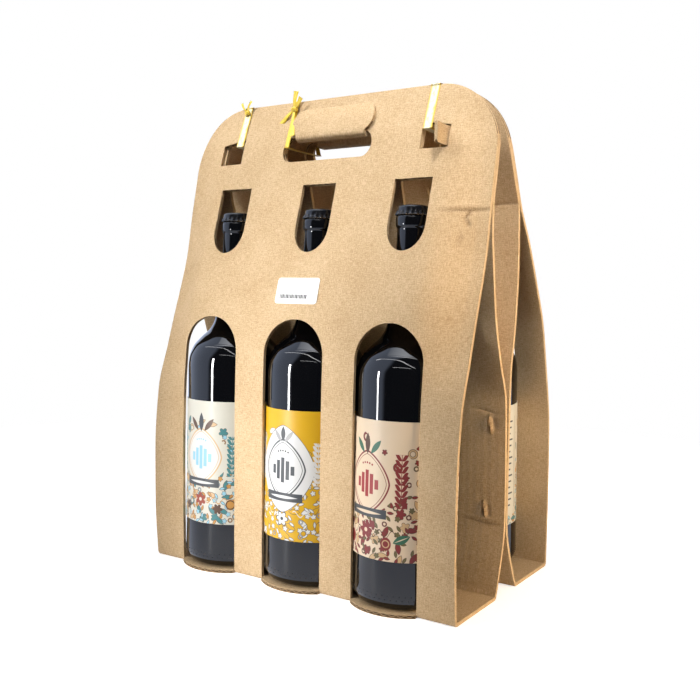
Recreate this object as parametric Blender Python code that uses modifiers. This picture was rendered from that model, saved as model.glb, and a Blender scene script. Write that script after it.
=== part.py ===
"""Six tall bottles of beer in two folded kraft carriers of three, tied together at the top.

Metres, Z up. The front of the pack looks along -Y, and the origin lies under its middle.
Each carrier is one blank of corrugated board: an outer panel with windows, a base and a
back panel. A carrier is drawn with its outer panel towards -Y, and the rear one is turned
half round.
"""
import math

import bmesh
import bpy
import numpy as np
from mathutils import Matrix, Vector

MM = 0.001

# Board of the carriers
BOARD = 3.0 * MM
CLEAR = 0.4 * MM
HALF_WIDTH = 148.0 * MM
TOP = 401.0 * MM
CORNER_RADIUS = 55.0 * MM
FOLD_RADIUS = 3.5 * MM
FLAT_TO = 104.0 * MM
FADE_COLUMNS = (107.0 * MM, 120.5 * MM, 134.0 * MM)

# How the board bends: height, place of its middle and place of its side edges, in mm.
# Each place is that of the panel's outer face.
FRONT_OUTER = ((0, -91.5, -91.5), (50, -92.5, -95.5), (100, -93.5, -96.5), (151, -94, -93),
               (190, -93.5, -82), (216, -91, -74.5), (250, -83, -64), (271, -76.5, -58.5),
               (306, -66.5, -53), (325, -61.5, -49.5), (360, -52.5, -43), (401, -38, -36))
FRONT_BACK = ((0, -18.2, -18.2), (57.7, -4.9, -4.9), (157, -8.5, -10.3), (185, -13.5, -22),
              (220, -22, -34.4), (257, -30, -41.5), (289, -38, -46), (306, -42, -46.2),
              (325, -48, -42.8), (345, -50, -39.5), (360, -45.9, -36.4), (401, -31.4, -29.4))
REAR_OUTER = ((0, -91.5, -91.5), (60, -91.5, -91), (127, -90, -87), (190, -85.5, -72),
              (216, -81, -64), (250, -69, -46), (282, -54, -27), (308, -39.5, -8),
              (330, -20, 3.5), (358, 5.5, 15.5), (380, 14, 17), (401, 18, 18))
REAR_BACK = ((0, -18.2, -18.2), (57.7, 3.8, 3.8), (172, 5.5, 5.5), (220, -1, -1),
             (259, -3, -3), (306, -0.5, -0.5), (330, 10.5, 10.5), (358, 22.3, 22.3),
             (401, 24.8, 24.8))
OUTER_ROWS = (388, 374, 357, 341, 323, 307, 290, 275, 253, 236, 220, 203, 184, 164, 130, 80, 35)
BACK_ROWS = (57.7, 120, 160, 190, 220, 255, 288, 314, 340, 361, 380)
FOLD_STEPS = 3

# Windows of the blank
PITCH = 87.5 * MM
ARCH_HALF = 29.0 * MM
ARCH_FLARE = 1.035
ARCH_TOP = 216.5 * MM
NECK_HALF = 16.5 * MM
NECK_TOP = 326.5 * MM
NECK_BOTTOM = 270.5 * MM
NECK_ROUND = 20.0 * MM
LOCK_INNER = 88.5 * MM
LOCK_OUTER = 112.5 * MM
LOCK_BOTTOM = 349.0 * MM
LOCK_TOP_INNER = 370.8 * MM
LOCK_TOP_OUTER = 366.8 * MM
SLOT_HALF = 44.0 * MM
SLOT_BOTTOM = 347.0 * MM
SLOT_TOP = 368.5 * MM
SLOT_ROUND = 8.5 * MM
TONGUE_RADIUS = 43.6 * MM
TONGUE_HALF = 28.6 * MM

# Handle flap and locking tab
FLAP_CENTRE = 3.0 * MM
FLAP_HALF = 40.0 * MM
FLAP_ROOT_HALF = 34.0 * MM
FLAP_RISE = 24.0 * MM
FLAP_DROP = 1.4 * MM
FLAP_FOLD = 1.0 * MM
TAB_LENGTH = 22.0 * MM
TAB_HEIGHT = 14.5 * MM
TAB_INSET = 2.5 * MM
TAB_TURN = math.radians(88)

# Bottle, crown cap and label
BOTTLE_RADIUS = 41.0 * MM
BOTTLE_AXIS = 59.8 * MM
BOTTLE_FLOOR = BOARD + CLEAR
REAR_LEAN = math.radians(3.5)
BOTTLE_SIDES = 24
BOTTLE_PROFILE = ((12.8, 294.6), (13.4, 292.0), (13.4, 286.6), (12.0, 284.8), (12.9, 260.0), (15.6, 230.0),
                  (18.4, 210.0), (22.5, 201.5), (29.5, 194.8), (36.5, 186.5), (40.2, 176.5),
                  (41.0, 168.0), (41.0, 11.0), (39.4, 5.0), (33.0, 0.0))
CAP_FLUTES = 21
CAP_BOTTOM = 294.9 * MM
CAP_HEIGHT = 7.4 * MM
CAP_TOP_RADIUS = 12.6 * MM
CAP_SKIRT_RADIUS = 14.3 * MM
CAP_FLUTE_DEPTH = 0.9 * MM
LABEL_BOTTOM = 37.5 * MM
LABEL_TOP = 141.5 * MM
LABEL_GAP = 0.3 * MM
LABEL_THICK = 0.4 * MM
LABEL_STEPS = 16

# Ribbons and sticker
RIBBON_THICK = 0.5 * MM
RIBBON_WIDTH = 8.0 * MM
RIBBON_OFF = 0.7 * MM
RIBBON_X = 93.0 * MM
RIBBON_LOW = 366.0 * MM
CENTRE_RIBBON_X = -40.2 * MM
CENTRE_RIBBON_WIDTH = 4.6 * MM
CENTRE_RIBBON_LOW = 361.4 * MM
KNOT_OFF = 2.5 * MM
LEFT_TAILS = ((-6, 9, 3.0), (5, 10, 3.4))
LEFT_TAIL_WIDTH = 2.4 * MM
CENTRE_TAILS = ((2, 15, 3.0), (-13.5, -12, 3.6), (9, 9, 6.0))
CENTRE_TAIL_WIDTH = 4.5 * MM
STICKER_CENTRE = (-1.8 * MM, 239.0 * MM)
STICKER_SIZE = (41.4 * MM, 20.8 * MM)
STICKER_CORNER = 2.5 * MM

KRAFT = (0.56, 0.38, 0.20)
GLASS = (0.012, 0.012, 0.016)
CAP_BLACK = (0.015, 0.015, 0.018)
STICKER_WHITE = (0.85, 0.85, 0.83)
RIBBON_YELLOW = (0.85, 0.66, 0.08)
LABEL_COLOURS = ((0.86, 0.80, 0.66), (0.90, 0.62, 0.05), (0.87, 0.76, 0.62))


def material(name, colour, roughness, metallic=0.0):
    mat = bpy.data.materials.new(name)
    mat.use_nodes = True
    shader = mat.node_tree.nodes["Principled BSDF"]
    shader.inputs["Base Color"].default_value = (*colour, 1.0)
    shader.inputs["Roughness"].default_value = roughness
    shader.inputs["Metallic"].default_value = metallic
    return mat


def new_object(name, mesh, collection, mat=None):
    obj = bpy.data.objects.new(name, mesh)
    collection.objects.link(obj)
    if mat:
        mesh.materials.clear()
        mesh.materials.append(mat)
    return obj


def evaluated_mesh(obj):
    bpy.context.view_layer.update()
    return bpy.data.meshes.new_from_object(obj.evaluated_get(bpy.context.evaluated_depsgraph_get()))


def apply_modifiers(obj):
    mesh = evaluated_mesh(obj)
    obj.modifiers.clear()
    obj.data = mesh


def discard(obj):
    bpy.data.objects.remove(obj)


def prism(name, outlines, low, high, collection):
    """Closed outlines in the XY plane, filled and made a solid from low to high."""
    curve = bpy.data.curves.new(name, "CURVE")
    curve.dimensions = "2D"
    curve.fill_mode = "BOTH"
    curve.extrude = (high - low) / 2
    for outline in outlines:
        spline = curve.splines.new("POLY")
        spline.points.add(len(outline) - 1)
        for point, (x, y) in zip(spline.points, outline):
            point.co = (x, y, 0, 1)
        spline.use_cyclic_u = True
    flat = new_object(name, curve, collection)
    mesh = evaluated_mesh(flat)
    discard(flat)
    bm = bmesh.new()
    bm.from_mesh(mesh)
    bmesh.ops.remove_doubles(bm, verts=bm.verts, dist=1e-6)
    bmesh.ops.recalc_face_normals(bm, faces=bm.faces)
    bmesh.ops.translate(bm, vec=(0, 0, (low + high) / 2), verts=bm.verts)
    bm.to_mesh(mesh)
    bm.free()
    return new_object(name, mesh, collection)


def smooth_place(stations, z, column):
    """The place that a table of stations gives at a height, on a smooth curve through them
    that never swings past a station."""
    heights = [row[0] * MM for row in stations]
    places = [row[column] * MM for row in stations]
    rises = np.diff(places) / np.diff(heights)
    slopes = [rises[0]]
    for below, above in zip(rises, rises[1:]):
        slopes.append(2 * below * above / (below + above) if below * above > 0 else 0.0)
    slopes.append(rises[-1])
    i = int(np.clip(np.searchsorted(heights, z) - 1, 0, len(heights) - 2))
    span = heights[i + 1] - heights[i]
    t = min(max((z - heights[i]) / span, 0.0), 1.0)
    a = (2 * t ** 3 - 3 * t ** 2 + 1) * places[i] + (t ** 3 - 2 * t ** 2 + t) * span * slopes[i]
    b = (3 * t ** 2 - 2 * t ** 3) * places[i + 1] + (t ** 3 - t ** 2) * span * slopes[i + 1]
    return a + b


def middle_share(x):
    """1 across the middle of a panel, fading to 0 at its side edges."""
    t = min(max((abs(x) - FLAT_TO) / (HALF_WIDTH - FLAT_TO), 0.0), 1.0)
    return 1 - t * t * (3 - 2 * t)


def panel_y(stations, x, z):
    share = middle_share(x)
    return share * smooth_place(stations, z, 1) + (1 - share) * smooth_place(stations, z, 2)


class Blank:
    """The folded course of one blank. s runs down the outer panel, where it is the height,
    through 0 at the base and on below zero up the back panel."""

    def __init__(self, outer, back):
        self.outer = outer
        self.back = back
        self.base_start = outer[0][1] * MM + FOLD_RADIUS
        self.base_end = back[0][1] * MM - FOLD_RADIUS
        self.base = self.base_end - self.base_start

    def back_s(self, z):
        return -self.base - z

    def place(self, x, s):
        """y and z of the outer face."""
        if s >= FOLD_RADIUS:
            return panel_y(self.outer, x, s), s
        if s >= 0:
            turn = math.pi + (1 - s / FOLD_RADIUS) * math.pi / 2
            return self.base_start + FOLD_RADIUS * math.cos(turn), FOLD_RADIUS * (1 + math.sin(turn))
        if s >= -self.base:
            return self.base_start - s, 0.0
        z = -s - self.base
        if z <= FOLD_RADIUS:
            turn = -math.pi / 2 + z / FOLD_RADIUS * math.pi / 2
            return self.base_end + FOLD_RADIUS * math.cos(turn), FOLD_RADIUS * (1 + math.sin(turn))
        return panel_y(self.back, x, z), z

    def rows(self):
        folds = [FOLD_RADIUS * k / FOLD_STEPS for k in range(FOLD_STEPS + 1)]
        front = [z * MM for z in OUTER_ROWS] + folds
        back = [self.back_s(z) for z in folds + [z * MM for z in BACK_ROWS]]
        return front + back


def bend(mesh, place):
    """Carries a flat mesh (x, s, depth) onto a course, depth square to it and inwards."""
    step = 0.2 * MM
    bm = bmesh.new()
    bm.from_mesh(mesh)
    bmesh.ops.triangulate(bm, faces=bm.faces)
    for vert in bm.verts:
        x, s, depth = vert.co
        y, z = place(x, s)
        ahead = Vector(place(x, s - step))
        behind = Vector(place(x, s + step))
        along = (ahead - behind).normalized()
        vert.co = (x, y - along.y * depth, z + along.x * depth)
    bmesh.ops.reverse_faces(bm, faces=bm.faces)
    bm.to_mesh(mesh)
    bm.free()


def arc(cx, cy, rx, ry, start, end, steps):
    """Points on an ellipse from one angle to another, in degrees."""
    angles = [math.radians(start + (end - start) * k / steps) for k in range(steps + 1)]
    return [(cx + rx * math.cos(a), cy + ry * math.sin(a)) for a in angles]


def arch_outline(cx):
    spring = ARCH_TOP - ARCH_HALF
    foot = -0.5 * MM
    return [(cx - ARCH_HALF, foot), (cx + ARCH_HALF, foot)] + arc(cx, spring, ARCH_HALF, ARCH_HALF, 0, 180, 16)


def neck_outline(cx):
    bottom = arc(cx, NECK_BOTTOM + NECK_ROUND, NECK_HALF, NECK_ROUND, 180, 360, 12)
    return bottom + [(cx + NECK_HALF, NECK_TOP), (cx - NECK_HALF, NECK_TOP)]


def lock_outline(side, outer):
    return [(side * LOCK_INNER, LOCK_BOTTOM), (side * outer, LOCK_BOTTOM),
            (side * outer, LOCK_TOP_OUTER), (side * LOCK_INNER, LOCK_TOP_INNER)]


def slot_outline():
    middle = (SLOT_BOTTOM + SLOT_TOP) / 2
    half = (SLOT_TOP - SLOT_BOTTOM) / 2
    right = arc(SLOT_HALF - SLOT_ROUND, middle, SLOT_ROUND, half, -90, 90, 8)
    return right + [(-x, z) for x, z in reversed(right)]


def corner_outline(side):
    over = 3.0 * MM
    centre = (HALF_WIDTH - CORNER_RADIUS, TOP - CORNER_RADIUS)
    curve = arc(*centre, CORNER_RADIUS, CORNER_RADIUS, 90, 0, 10)
    points = curve + [(HALF_WIDTH + over, TOP - CORNER_RADIUS), (HALF_WIDTH + over, TOP + over),
                      (HALF_WIDTH - CORNER_RADIUS, TOP + over)]
    return [(side * x, z) for x, z in points]


def difference(obj, cutter):
    cut = obj.modifiers.new("Cut", "BOOLEAN")
    cut.operation = "DIFFERENCE"
    cut.solver = "EXACT"
    cut.object = cutter
    apply_modifiers(obj)
    discard(cutter)


def flat_blank(name, blank, parts, cutters):
    """The blank laid flat: a slab cut into rows and columns, with its windows cut out."""
    length = 2 * TOP + blank.base
    bm = bmesh.new()
    bmesh.ops.create_cube(bm, size=1.0)
    bmesh.ops.scale(bm, vec=(2 * HALF_WIDTH, length, BOARD), verts=bm.verts)
    bmesh.ops.translate(bm, vec=(0, -blank.base / 2, BOARD / 2), verts=bm.verts)
    planes = [(Vector((0, s, 0)), Vector((0, 1, 0))) for s in blank.rows()]
    planes += [(Vector((side * x, 0, 0)), Vector((1, 0, 0))) for x in FADE_COLUMNS for side in (-1, 1)]
    for point, normal in planes:
        everything = bm.verts[:] + bm.edges[:] + bm.faces[:]
        bmesh.ops.bisect_plane(bm, geom=everything, dist=1e-7, plane_co=point, plane_no=normal)
    mesh = bpy.data.meshes.new(name)
    bm.to_mesh(mesh)
    bm.free()
    obj = new_object(name, mesh, parts)

    centres = (-PITCH, 0, PITCH)
    shared = [neck_outline(cx) for cx in centres] + [slot_outline(), corner_outline(-1), corner_outline(1)]
    outer_cuts = shared + [lock_outline(side, LOCK_OUTER) for side in (-1, 1)]
    back_cuts = shared + [lock_outline(side, LOCK_OUTER - TAB_INSET) for side in (-1, 1)]
    back_cuts = [[(x, blank.back_s(z)) for x, z in outline] for outline in back_cuts]
    over = 2.0 * MM
    arches = prism("arches", [arch_outline(cx) for cx in centres], -over, BOARD + over, cutters)
    for vert in arches.data.vertices:
        if vert.co.z > BOARD / 2:
            cx = PITCH * round(vert.co.x / PITCH)
            vert.co.x = cx + (vert.co.x - cx) * ARCH_FLARE
    difference(obj, arches)
    difference(obj, prism("outer_cuts", outer_cuts, -over, BOARD + over, cutters))
    difference(obj, prism("back_cuts", back_cuts, -over, BOARD + over, cutters))
    return obj


def tongue(cx, cutters):
    """The round tongue of base board that carries a bottle's heel out through its window."""
    skin = 0.1 * MM
    root = (-BOTTLE_AXIS + TONGUE_RADIUS - 60 * MM)
    reach = math.degrees(math.acos(TONGUE_HALF / TONGUE_RADIUS))
    front = arc(cx, -BOTTLE_AXIS, TONGUE_RADIUS, TONGUE_RADIUS, 180 + reach, 360 - reach, 10)
    outline = front + [(cx + TONGUE_HALF, root), (cx - TONGUE_HALF, root)]
    return prism("tongue", [outline], skin, BOARD - skin, cutters)


def handle_flap(blank, centre, cutters):
    """The back panel's hand flap, pushed through the slot and folded up over the outer panel."""
    low = SLOT_TOP - FLAP_DROP
    off = 1.5 * CLEAR
    back_y = panel_y(blank.back, 0, low) - BOARD / 2
    front_y = panel_y(blank.outer, 0, low + FLAP_FOLD) - off
    run = back_y - front_y - FLAP_FOLD
    turn = FLAP_FOLD * math.pi / 2

    def course(x, s):
        s = -s
        if s <= run:
            return back_y - s, low
        if s <= run + turn:
            angle = -math.pi / 2 - (s - run) / FLAP_FOLD
            return (front_y + FLAP_FOLD * (1 + math.cos(angle)),
                    low + FLAP_FOLD * (1 + math.sin(angle)))
        z = low + FLAP_FOLD + s - run - turn
        return panel_y(blank.outer, 0, z) - off, z

    end = run + turn + FLAP_RISE
    waist = run + turn
    half = (end - waist) / 2
    side = arc(centre + FLAP_HALF - SLOT_ROUND, -(waist + half), SLOT_ROUND, half, 70, -90, 7)
    root = [(centre + FLAP_ROOT_HALF, 0.0), (centre + FLAP_ROOT_HALF, -waist)]
    right = root + side
    left = [(2 * centre - x, s) for x, s in reversed(right)]
    flap = prism("flap", [right + left], 0, BOARD, cutters)
    bm = bmesh.new()
    bm.from_mesh(flap.data)
    levels = [run] + [run + turn * k / FOLD_STEPS for k in range(1, FOLD_STEPS + 1)]
    for level in levels + [waist + half]:
        everything = bm.verts[:] + bm.edges[:] + bm.faces[:]
        bmesh.ops.bisect_plane(bm, geom=everything, dist=1e-7,
                               plane_co=(0, -level, 0), plane_no=(0, 1, 0))
    bm.to_mesh(flap.data)
    bm.free()
    bend(flap.data, course)
    return flap


def flap_hinge(blank, centre, cutters):
    """The stretch of back panel that the hand flap is folded from."""
    bm = bmesh.new()
    bmesh.ops.create_cube(bm, size=2.0)
    skin = 0.2 * MM
    low = SLOT_TOP - FLAP_DROP - BOARD + skin
    high = SLOT_TOP + BOARD
    for vert in bm.verts:
        x = centre + vert.co.x * (FLAP_ROOT_HALF - skin)
        z = high if vert.co.z > 0 else low
        depth = skin if vert.co.y > 0 else BOARD - skin
        vert.co = (x, panel_y(blank.back, 0, z) - depth, z)
    mesh = bpy.data.meshes.new("hinge")
    bm.to_mesh(mesh)
    bm.free()
    return new_object("hinge", mesh, cutters)


def locking_tab(blank, cutters):
    """The back panel's tab, swung out through the lock window on its outer side."""
    middle = (LOCK_BOTTOM + LOCK_TOP_OUTER) / 2
    hinge_x = LOCK_OUTER - TAB_INSET + 0.6 * MM
    hinge = Vector((hinge_x, panel_y(blank.back, hinge_x, middle) - BOARD * 0.4, middle))
    bm = bmesh.new()
    bmesh.ops.create_cube(bm, size=1.0)
    bmesh.ops.scale(bm, vec=(TAB_LENGTH, BOARD * 0.87, TAB_HEIGHT), verts=bm.verts)
    bmesh.ops.translate(bm, vec=(-TAB_LENGTH / 2, 0, 0), verts=bm.verts)
    for vert in bm.verts:
        if vert.co.x < -TAB_LENGTH / 2 and vert.co.z > 0:
            vert.co.z += 1.0 * MM
    bmesh.ops.rotate(bm, cent=(0, 0, 0), matrix=Matrix.Rotation(TAB_TURN, 3, "Z"), verts=bm.verts)
    bmesh.ops.translate(bm, vec=hinge, verts=bm.verts)
    mesh = bpy.data.meshes.new("tab")
    bm.to_mesh(mesh)
    bm.free()
    return new_object("tab", mesh, cutters)


def make_carrier(name, blank, turned, parts, pieces, mat):
    carrier = flat_blank(name, blank, parts, pieces)
    bend(carrier.data, blank.place)
    extras = [tongue(cx, pieces) for cx in (-PITCH, 0, PITCH)]
    centre = -FLAP_CENTRE if turned else FLAP_CENTRE
    extras += [handle_flap(blank, centre, pieces), flap_hinge(blank, centre, pieces), locking_tab(blank, pieces)]
    join = carrier.modifiers.new("Join", "BOOLEAN")
    join.operation = "UNION"
    join.solver = "EXACT"
    join.operand_type = "COLLECTION"
    join.collection = pieces
    apply_modifiers(carrier)
    for extra in extras:
        discard(extra)
    if turned:
        carrier.data.transform(Matrix.Rotation(math.pi, 4, "Z"))
    carrier.data.materials.clear()
    carrier.data.materials.append(mat)
    carrier.data.shade_smooth()
    carrier.data.set_sharp_from_angle(angle=math.radians(25))
    return carrier


def turned_mesh(name, profile, steps, parts, mat):
    """A profile of (radius, height) in mm, from the top down its outer side, turned about Z."""
    mesh = bpy.data.meshes.new(name)
    points = [(r * MM, 0, z * MM) for r, z in profile]
    mesh.from_pydata(points, [(i, i + 1) for i in range(len(points) - 1)], [])
    obj = new_object(name, mesh, parts, mat)
    screw = obj.modifiers.new("Turn", "SCREW")
    screw.steps = steps
    screw.render_steps = steps
    screw.use_merge_vertices = True
    screw.merge_threshold = 1e-5
    screw.use_smooth_shade = True
    return obj


def bottle_mesh(mat, parts):
    top = (0.0, BOTTLE_PROFILE[0][1])
    bottom = (0.0, BOTTLE_PROFILE[-1][1])
    obj = turned_mesh("bottle", (top,) + BOTTLE_PROFILE + (bottom,), BOTTLE_SIDES, parts, mat)
    mesh = evaluated_mesh(obj)
    discard(obj)
    mesh.shade_smooth()
    mesh.set_sharp_from_angle(angle=math.radians(50))
    return mesh


def cap_mesh(mat):
    """A crown cap: a fluted skirt that flares under a flat top with a rounded shoulder."""
    bm = bmesh.new()
    sides = 2 * CAP_FLUTES
    bmesh.ops.create_cone(bm, cap_ends=True, segments=sides, radius1=CAP_SKIRT_RADIUS,
                          radius2=CAP_TOP_RADIUS, depth=CAP_HEIGHT)
    bmesh.ops.translate(bm, vec=(0, 0, CAP_BOTTOM + CAP_HEIGHT / 2), verts=bm.verts)
    for vert in bm.verts:
        if vert.co.z < CAP_BOTTOM + CAP_HEIGHT / 2:
            turn = math.atan2(vert.co.y, vert.co.x) % (2 * math.pi)
            if round(turn * sides / (2 * math.pi)) % 2:
                vert.co.xy *= 1 - CAP_FLUTE_DEPTH / CAP_SKIRT_RADIUS
        else:
            vert.co.z -= 1.2 * MM
    top = max(bm.faces, key=lambda face: face.calc_center_median().z)
    bmesh.ops.inset_region(bm, faces=[top], thickness=1.6 * MM)
    bmesh.ops.translate(bm, vec=(0, 0, 1.2 * MM), verts=top.verts)
    mesh = bpy.data.meshes.new("cap")
    bm.to_mesh(mesh)
    bm.free()
    mesh.materials.append(mat)
    mesh.shade_smooth()
    mesh.set_sharp_from_angle(angle=math.radians(40))
    return mesh


def label_mesh(name, mat, parts):
    """A paper label wrapped round the front of a bottle, which looks along -Y."""
    span = 2 * math.pi * LABEL_STEPS / BOTTLE_SIDES
    radius = (BOTTLE_RADIUS + LABEL_GAP) / MM
    obj = turned_mesh(name, ((radius, LABEL_TOP / MM), (radius, LABEL_BOTTOM / MM)), LABEL_STEPS, parts, mat)
    obj.modifiers["Turn"].angle = span
    wall = obj.modifiers.new("Thickness", "SOLIDIFY")
    wall.thickness = LABEL_THICK
    wall.offset = 1.0
    mesh = evaluated_mesh(obj)
    discard(obj)
    mesh.transform(Matrix.Rotation(-math.pi / 2 - span / 2, 4, "Z"))
    mesh.shade_smooth()
    mesh.set_sharp_from_angle(angle=math.radians(50))
    return mesh


def ribbon_course(x, low, front, rear):
    """y and z of a ribbon: up the front panel, over both tops and down the rear panel,
    then back through the windows."""
    heights = (low, 378 * MM, 389 * MM, TOP + RIBBON_OFF)
    up = [(panel_y(front.outer, x, z) - RIBBON_OFF, z) for z in heights]
    down = [(RIBBON_OFF - panel_y(rear.outer, x, z), z) for z in reversed(heights)]
    return up + down


def ribbon(name, x, width, low, front, rear, mat, parts):
    """A flat band in one closed loop."""
    curve = bpy.data.curves.new(name, "CURVE")
    curve.dimensions = "2D"
    curve.fill_mode = "NONE"
    curve.extrude = width / 2
    course = ribbon_course(x, low, front, rear)
    spline = curve.splines.new("POLY")
    spline.points.add(len(course) - 1)
    for point, (y, z) in zip(spline.points, course):
        point.co = (y, z, 0, 1)
    spline.use_cyclic_u = True
    flat = new_object(name + "_path", curve, parts)
    mesh = evaluated_mesh(flat)
    discard(flat)
    mesh.transform(Matrix(((0, 0, 1, x), (1, 0, 0, 0), (0, 1, 0, 0), (0, 0, 0, 1))))
    band = new_object(name, mesh, parts, mat)
    wall = band.modifiers.new("Thickness", "SOLIDIFY")
    wall.thickness = RIBBON_THICK
    wall.offset = 0.0
    apply_modifiers(band)
    return band


def ribbon_tail(start, end, width, pieces):
    """A flat tail of ribbon that widens from the knot to its cut end."""
    start = Vector(start)
    end = Vector(end)
    bm = bmesh.new()
    bmesh.ops.create_cube(bm, size=1.0)
    length = (end - start).length
    bmesh.ops.scale(bm, vec=(width, RIBBON_THICK * 2, length), verts=bm.verts)
    bmesh.ops.translate(bm, vec=(0, 0, length / 2), verts=bm.verts)
    for vert in bm.verts:
        if vert.co.z < length / 2:
            vert.co.x *= 0.4
    turn = Vector((0, 0, 1)).rotation_difference((end - start).normalized())
    bmesh.ops.rotate(bm, cent=(0, 0, 0), matrix=turn.to_matrix(), verts=bm.verts)
    bmesh.ops.translate(bm, vec=start, verts=bm.verts)
    mesh = bpy.data.meshes.new("tail")
    bm.to_mesh(mesh)
    bm.free()
    return new_object("tail", mesh, pieces)


def ribbon_knot(centre, pieces):
    bm = bmesh.new()
    bmesh.ops.create_uvsphere(bm, u_segments=10, v_segments=6, radius=1.0)
    bmesh.ops.scale(bm, vec=(2.6 * MM, 1.9 * MM, 2.8 * MM), verts=bm.verts)
    bmesh.ops.translate(bm, vec=centre, verts=bm.verts)
    mesh = bpy.data.meshes.new("knot")
    bm.to_mesh(mesh)
    bm.free()
    return new_object("knot", mesh, pieces)


def tie(band, x, height, tails, width, front, pieces):
    """Joins a knot and its tails to a band on the front panel. A tail is given by the place of
    its end beside and above the knot and by its distance from the panel, in mm."""
    knot = Vector((x, panel_y(front.outer, x, height) - KNOT_OFF, height))
    extras = [ribbon_knot(knot, pieces)]
    for aside, above, off in tails:
        z = height + above * MM
        end = (x + aside * MM, panel_y(front.outer, x, min(z, TOP)) - off * MM, z)
        extras.append(ribbon_tail(knot, end, width, pieces))
    join = band.modifiers.new("Join", "BOOLEAN")
    join.operation = "UNION"
    join.solver = "EXACT"
    join.operand_type = "COLLECTION"
    join.collection = pieces
    apply_modifiers(band)
    for extra in extras:
        discard(extra)


def rounded_rectangle(cx, cy, width, height, radius):
    points = []
    for sx, sy, start in ((1, 1, 0), (-1, 1, 90), (-1, -1, 180), (1, -1, 270)):
        px = cx + sx * (width / 2 - radius)
        py = cy + sy * (height / 2 - radius)
        points += arc(px, py, radius, radius, start, start + 90, 4)
    return points


def make_sticker(blank, mat, parts):
    outline = rounded_rectangle(*STICKER_CENTRE, *STICKER_SIZE, STICKER_CORNER)
    sticker = prism("sticker", [outline], -0.7 * MM, -0.4 * MM, parts)
    bm = bmesh.new()
    bm.from_mesh(sticker.data)
    for share in (-0.25, 0, 0.25):
        level = STICKER_CENTRE[1] + share * STICKER_SIZE[1]
        everything = bm.verts[:] + bm.edges[:] + bm.faces[:]
        bmesh.ops.bisect_plane(bm, geom=everything, dist=1e-7, plane_co=(0, level, 0), plane_no=(0, 1, 0))
    bm.to_mesh(sticker.data)
    bm.free()
    bend(sticker.data, blank.place)
    sticker.data.materials.append(mat)


def place_bottles(row, turn, lean, parts, bottle, cap, labels):
    """Three bottles with their caps and labels, on one side of the pack."""
    lift = BOTTLE_PROFILE[-1][0] * MM * math.sin(lean)
    for i, cx in enumerate((-PITCH, 0, PITCH)):
        spot = Matrix.Translation((cx, -BOTTLE_AXIS, BOTTLE_FLOOR + lift))
        world = Matrix.Rotation(turn, 4, "Z") @ spot @ Matrix.Rotation(-lean, 4, "X")
        for kind, mesh in (("bottle", bottle), ("cap", cap), ("label", labels[i])):
            obj = new_object(f"{kind}_{row}_{i + 1}", mesh, parts)
            obj.matrix_world = world


def build():
    for obj in list(bpy.data.objects):
        bpy.data.objects.remove(obj)
    parts = bpy.data.collections.new("six_pack")
    pieces = bpy.data.collections.new("cutters")
    bpy.context.scene.collection.children.link(parts)
    bpy.context.scene.collection.children.link(pieces)

    kraft = material("kraft_board", KRAFT, 0.85)
    front = Blank(FRONT_OUTER, FRONT_BACK)
    rear = Blank(REAR_OUTER, REAR_BACK)
    make_carrier("carrier_front", front, False, parts, pieces, kraft)
    make_carrier("carrier_rear", rear, True, parts, pieces, kraft)

    bottle = bottle_mesh(material("dark_glass", GLASS, 0.05), parts)
    cap = cap_mesh(material("cap_black", CAP_BLACK, 0.35, 0.6))
    labels = [label_mesh(f"label_{i}", material(f"label_paper_{i + 1}", colour, 0.6), parts)
              for i, colour in enumerate(LABEL_COLOURS)]
    place_bottles("front", 0.0, 0.0, parts, bottle, cap, labels)
    place_bottles("rear", math.pi, REAR_LEAN, parts, bottle, cap, labels)

    yellow = material("ribbon_satin", RIBBON_YELLOW, 0.45)
    left = ribbon("ribbon_left", -RIBBON_X, RIBBON_WIDTH, RIBBON_LOW, front, rear, yellow, parts)
    ribbon("ribbon_right", RIBBON_X, RIBBON_WIDTH, RIBBON_LOW, front, rear, yellow, parts)
    centre = ribbon("ribbon_centre", CENTRE_RIBBON_X, CENTRE_RIBBON_WIDTH, CENTRE_RIBBON_LOW,
                    front, rear, yellow, parts)
    tie(left, -RIBBON_X, 396 * MM, LEFT_TAILS, LEFT_TAIL_WIDTH, front, pieces)
    tie(centre, CENTRE_RIBBON_X, 394 * MM, CENTRE_TAILS, CENTRE_TAIL_WIDTH, front, pieces)
    make_sticker(front, material("sticker_paper", STICKER_WHITE, 0.5), parts)
    bpy.data.collections.remove(pieces)


build()
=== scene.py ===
import math

import bmesh
import bpy
import numpy as np
from mathutils import Matrix, Vector


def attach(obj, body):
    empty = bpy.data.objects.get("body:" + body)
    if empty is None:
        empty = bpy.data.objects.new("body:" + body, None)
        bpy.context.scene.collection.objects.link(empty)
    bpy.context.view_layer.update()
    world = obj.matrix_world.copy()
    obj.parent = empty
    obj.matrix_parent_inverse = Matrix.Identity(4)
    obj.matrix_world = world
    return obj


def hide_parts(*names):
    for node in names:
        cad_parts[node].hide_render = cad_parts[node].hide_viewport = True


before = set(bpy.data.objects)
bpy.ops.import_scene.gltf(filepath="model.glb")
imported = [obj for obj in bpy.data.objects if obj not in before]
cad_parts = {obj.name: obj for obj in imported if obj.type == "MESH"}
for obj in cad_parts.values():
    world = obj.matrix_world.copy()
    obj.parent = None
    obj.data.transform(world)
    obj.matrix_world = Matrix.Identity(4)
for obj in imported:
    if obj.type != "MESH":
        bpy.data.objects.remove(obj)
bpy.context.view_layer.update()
print("frame loaded,", len(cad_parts), "nodes")

halfTurn = Matrix.Rotation(math.pi, 4, "Z")  # the rear row looks the other way
bottleCentres = (-0.0875, 0.0, 0.0875)


# camera at the photograph's angle
cameraSettings = {"place": (0.40945, -0.63982, 0.23344), "yaw": 33.0167, "pitch": 3.3890, "roll": 1.2919,
                  "lens": 44.24}


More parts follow.
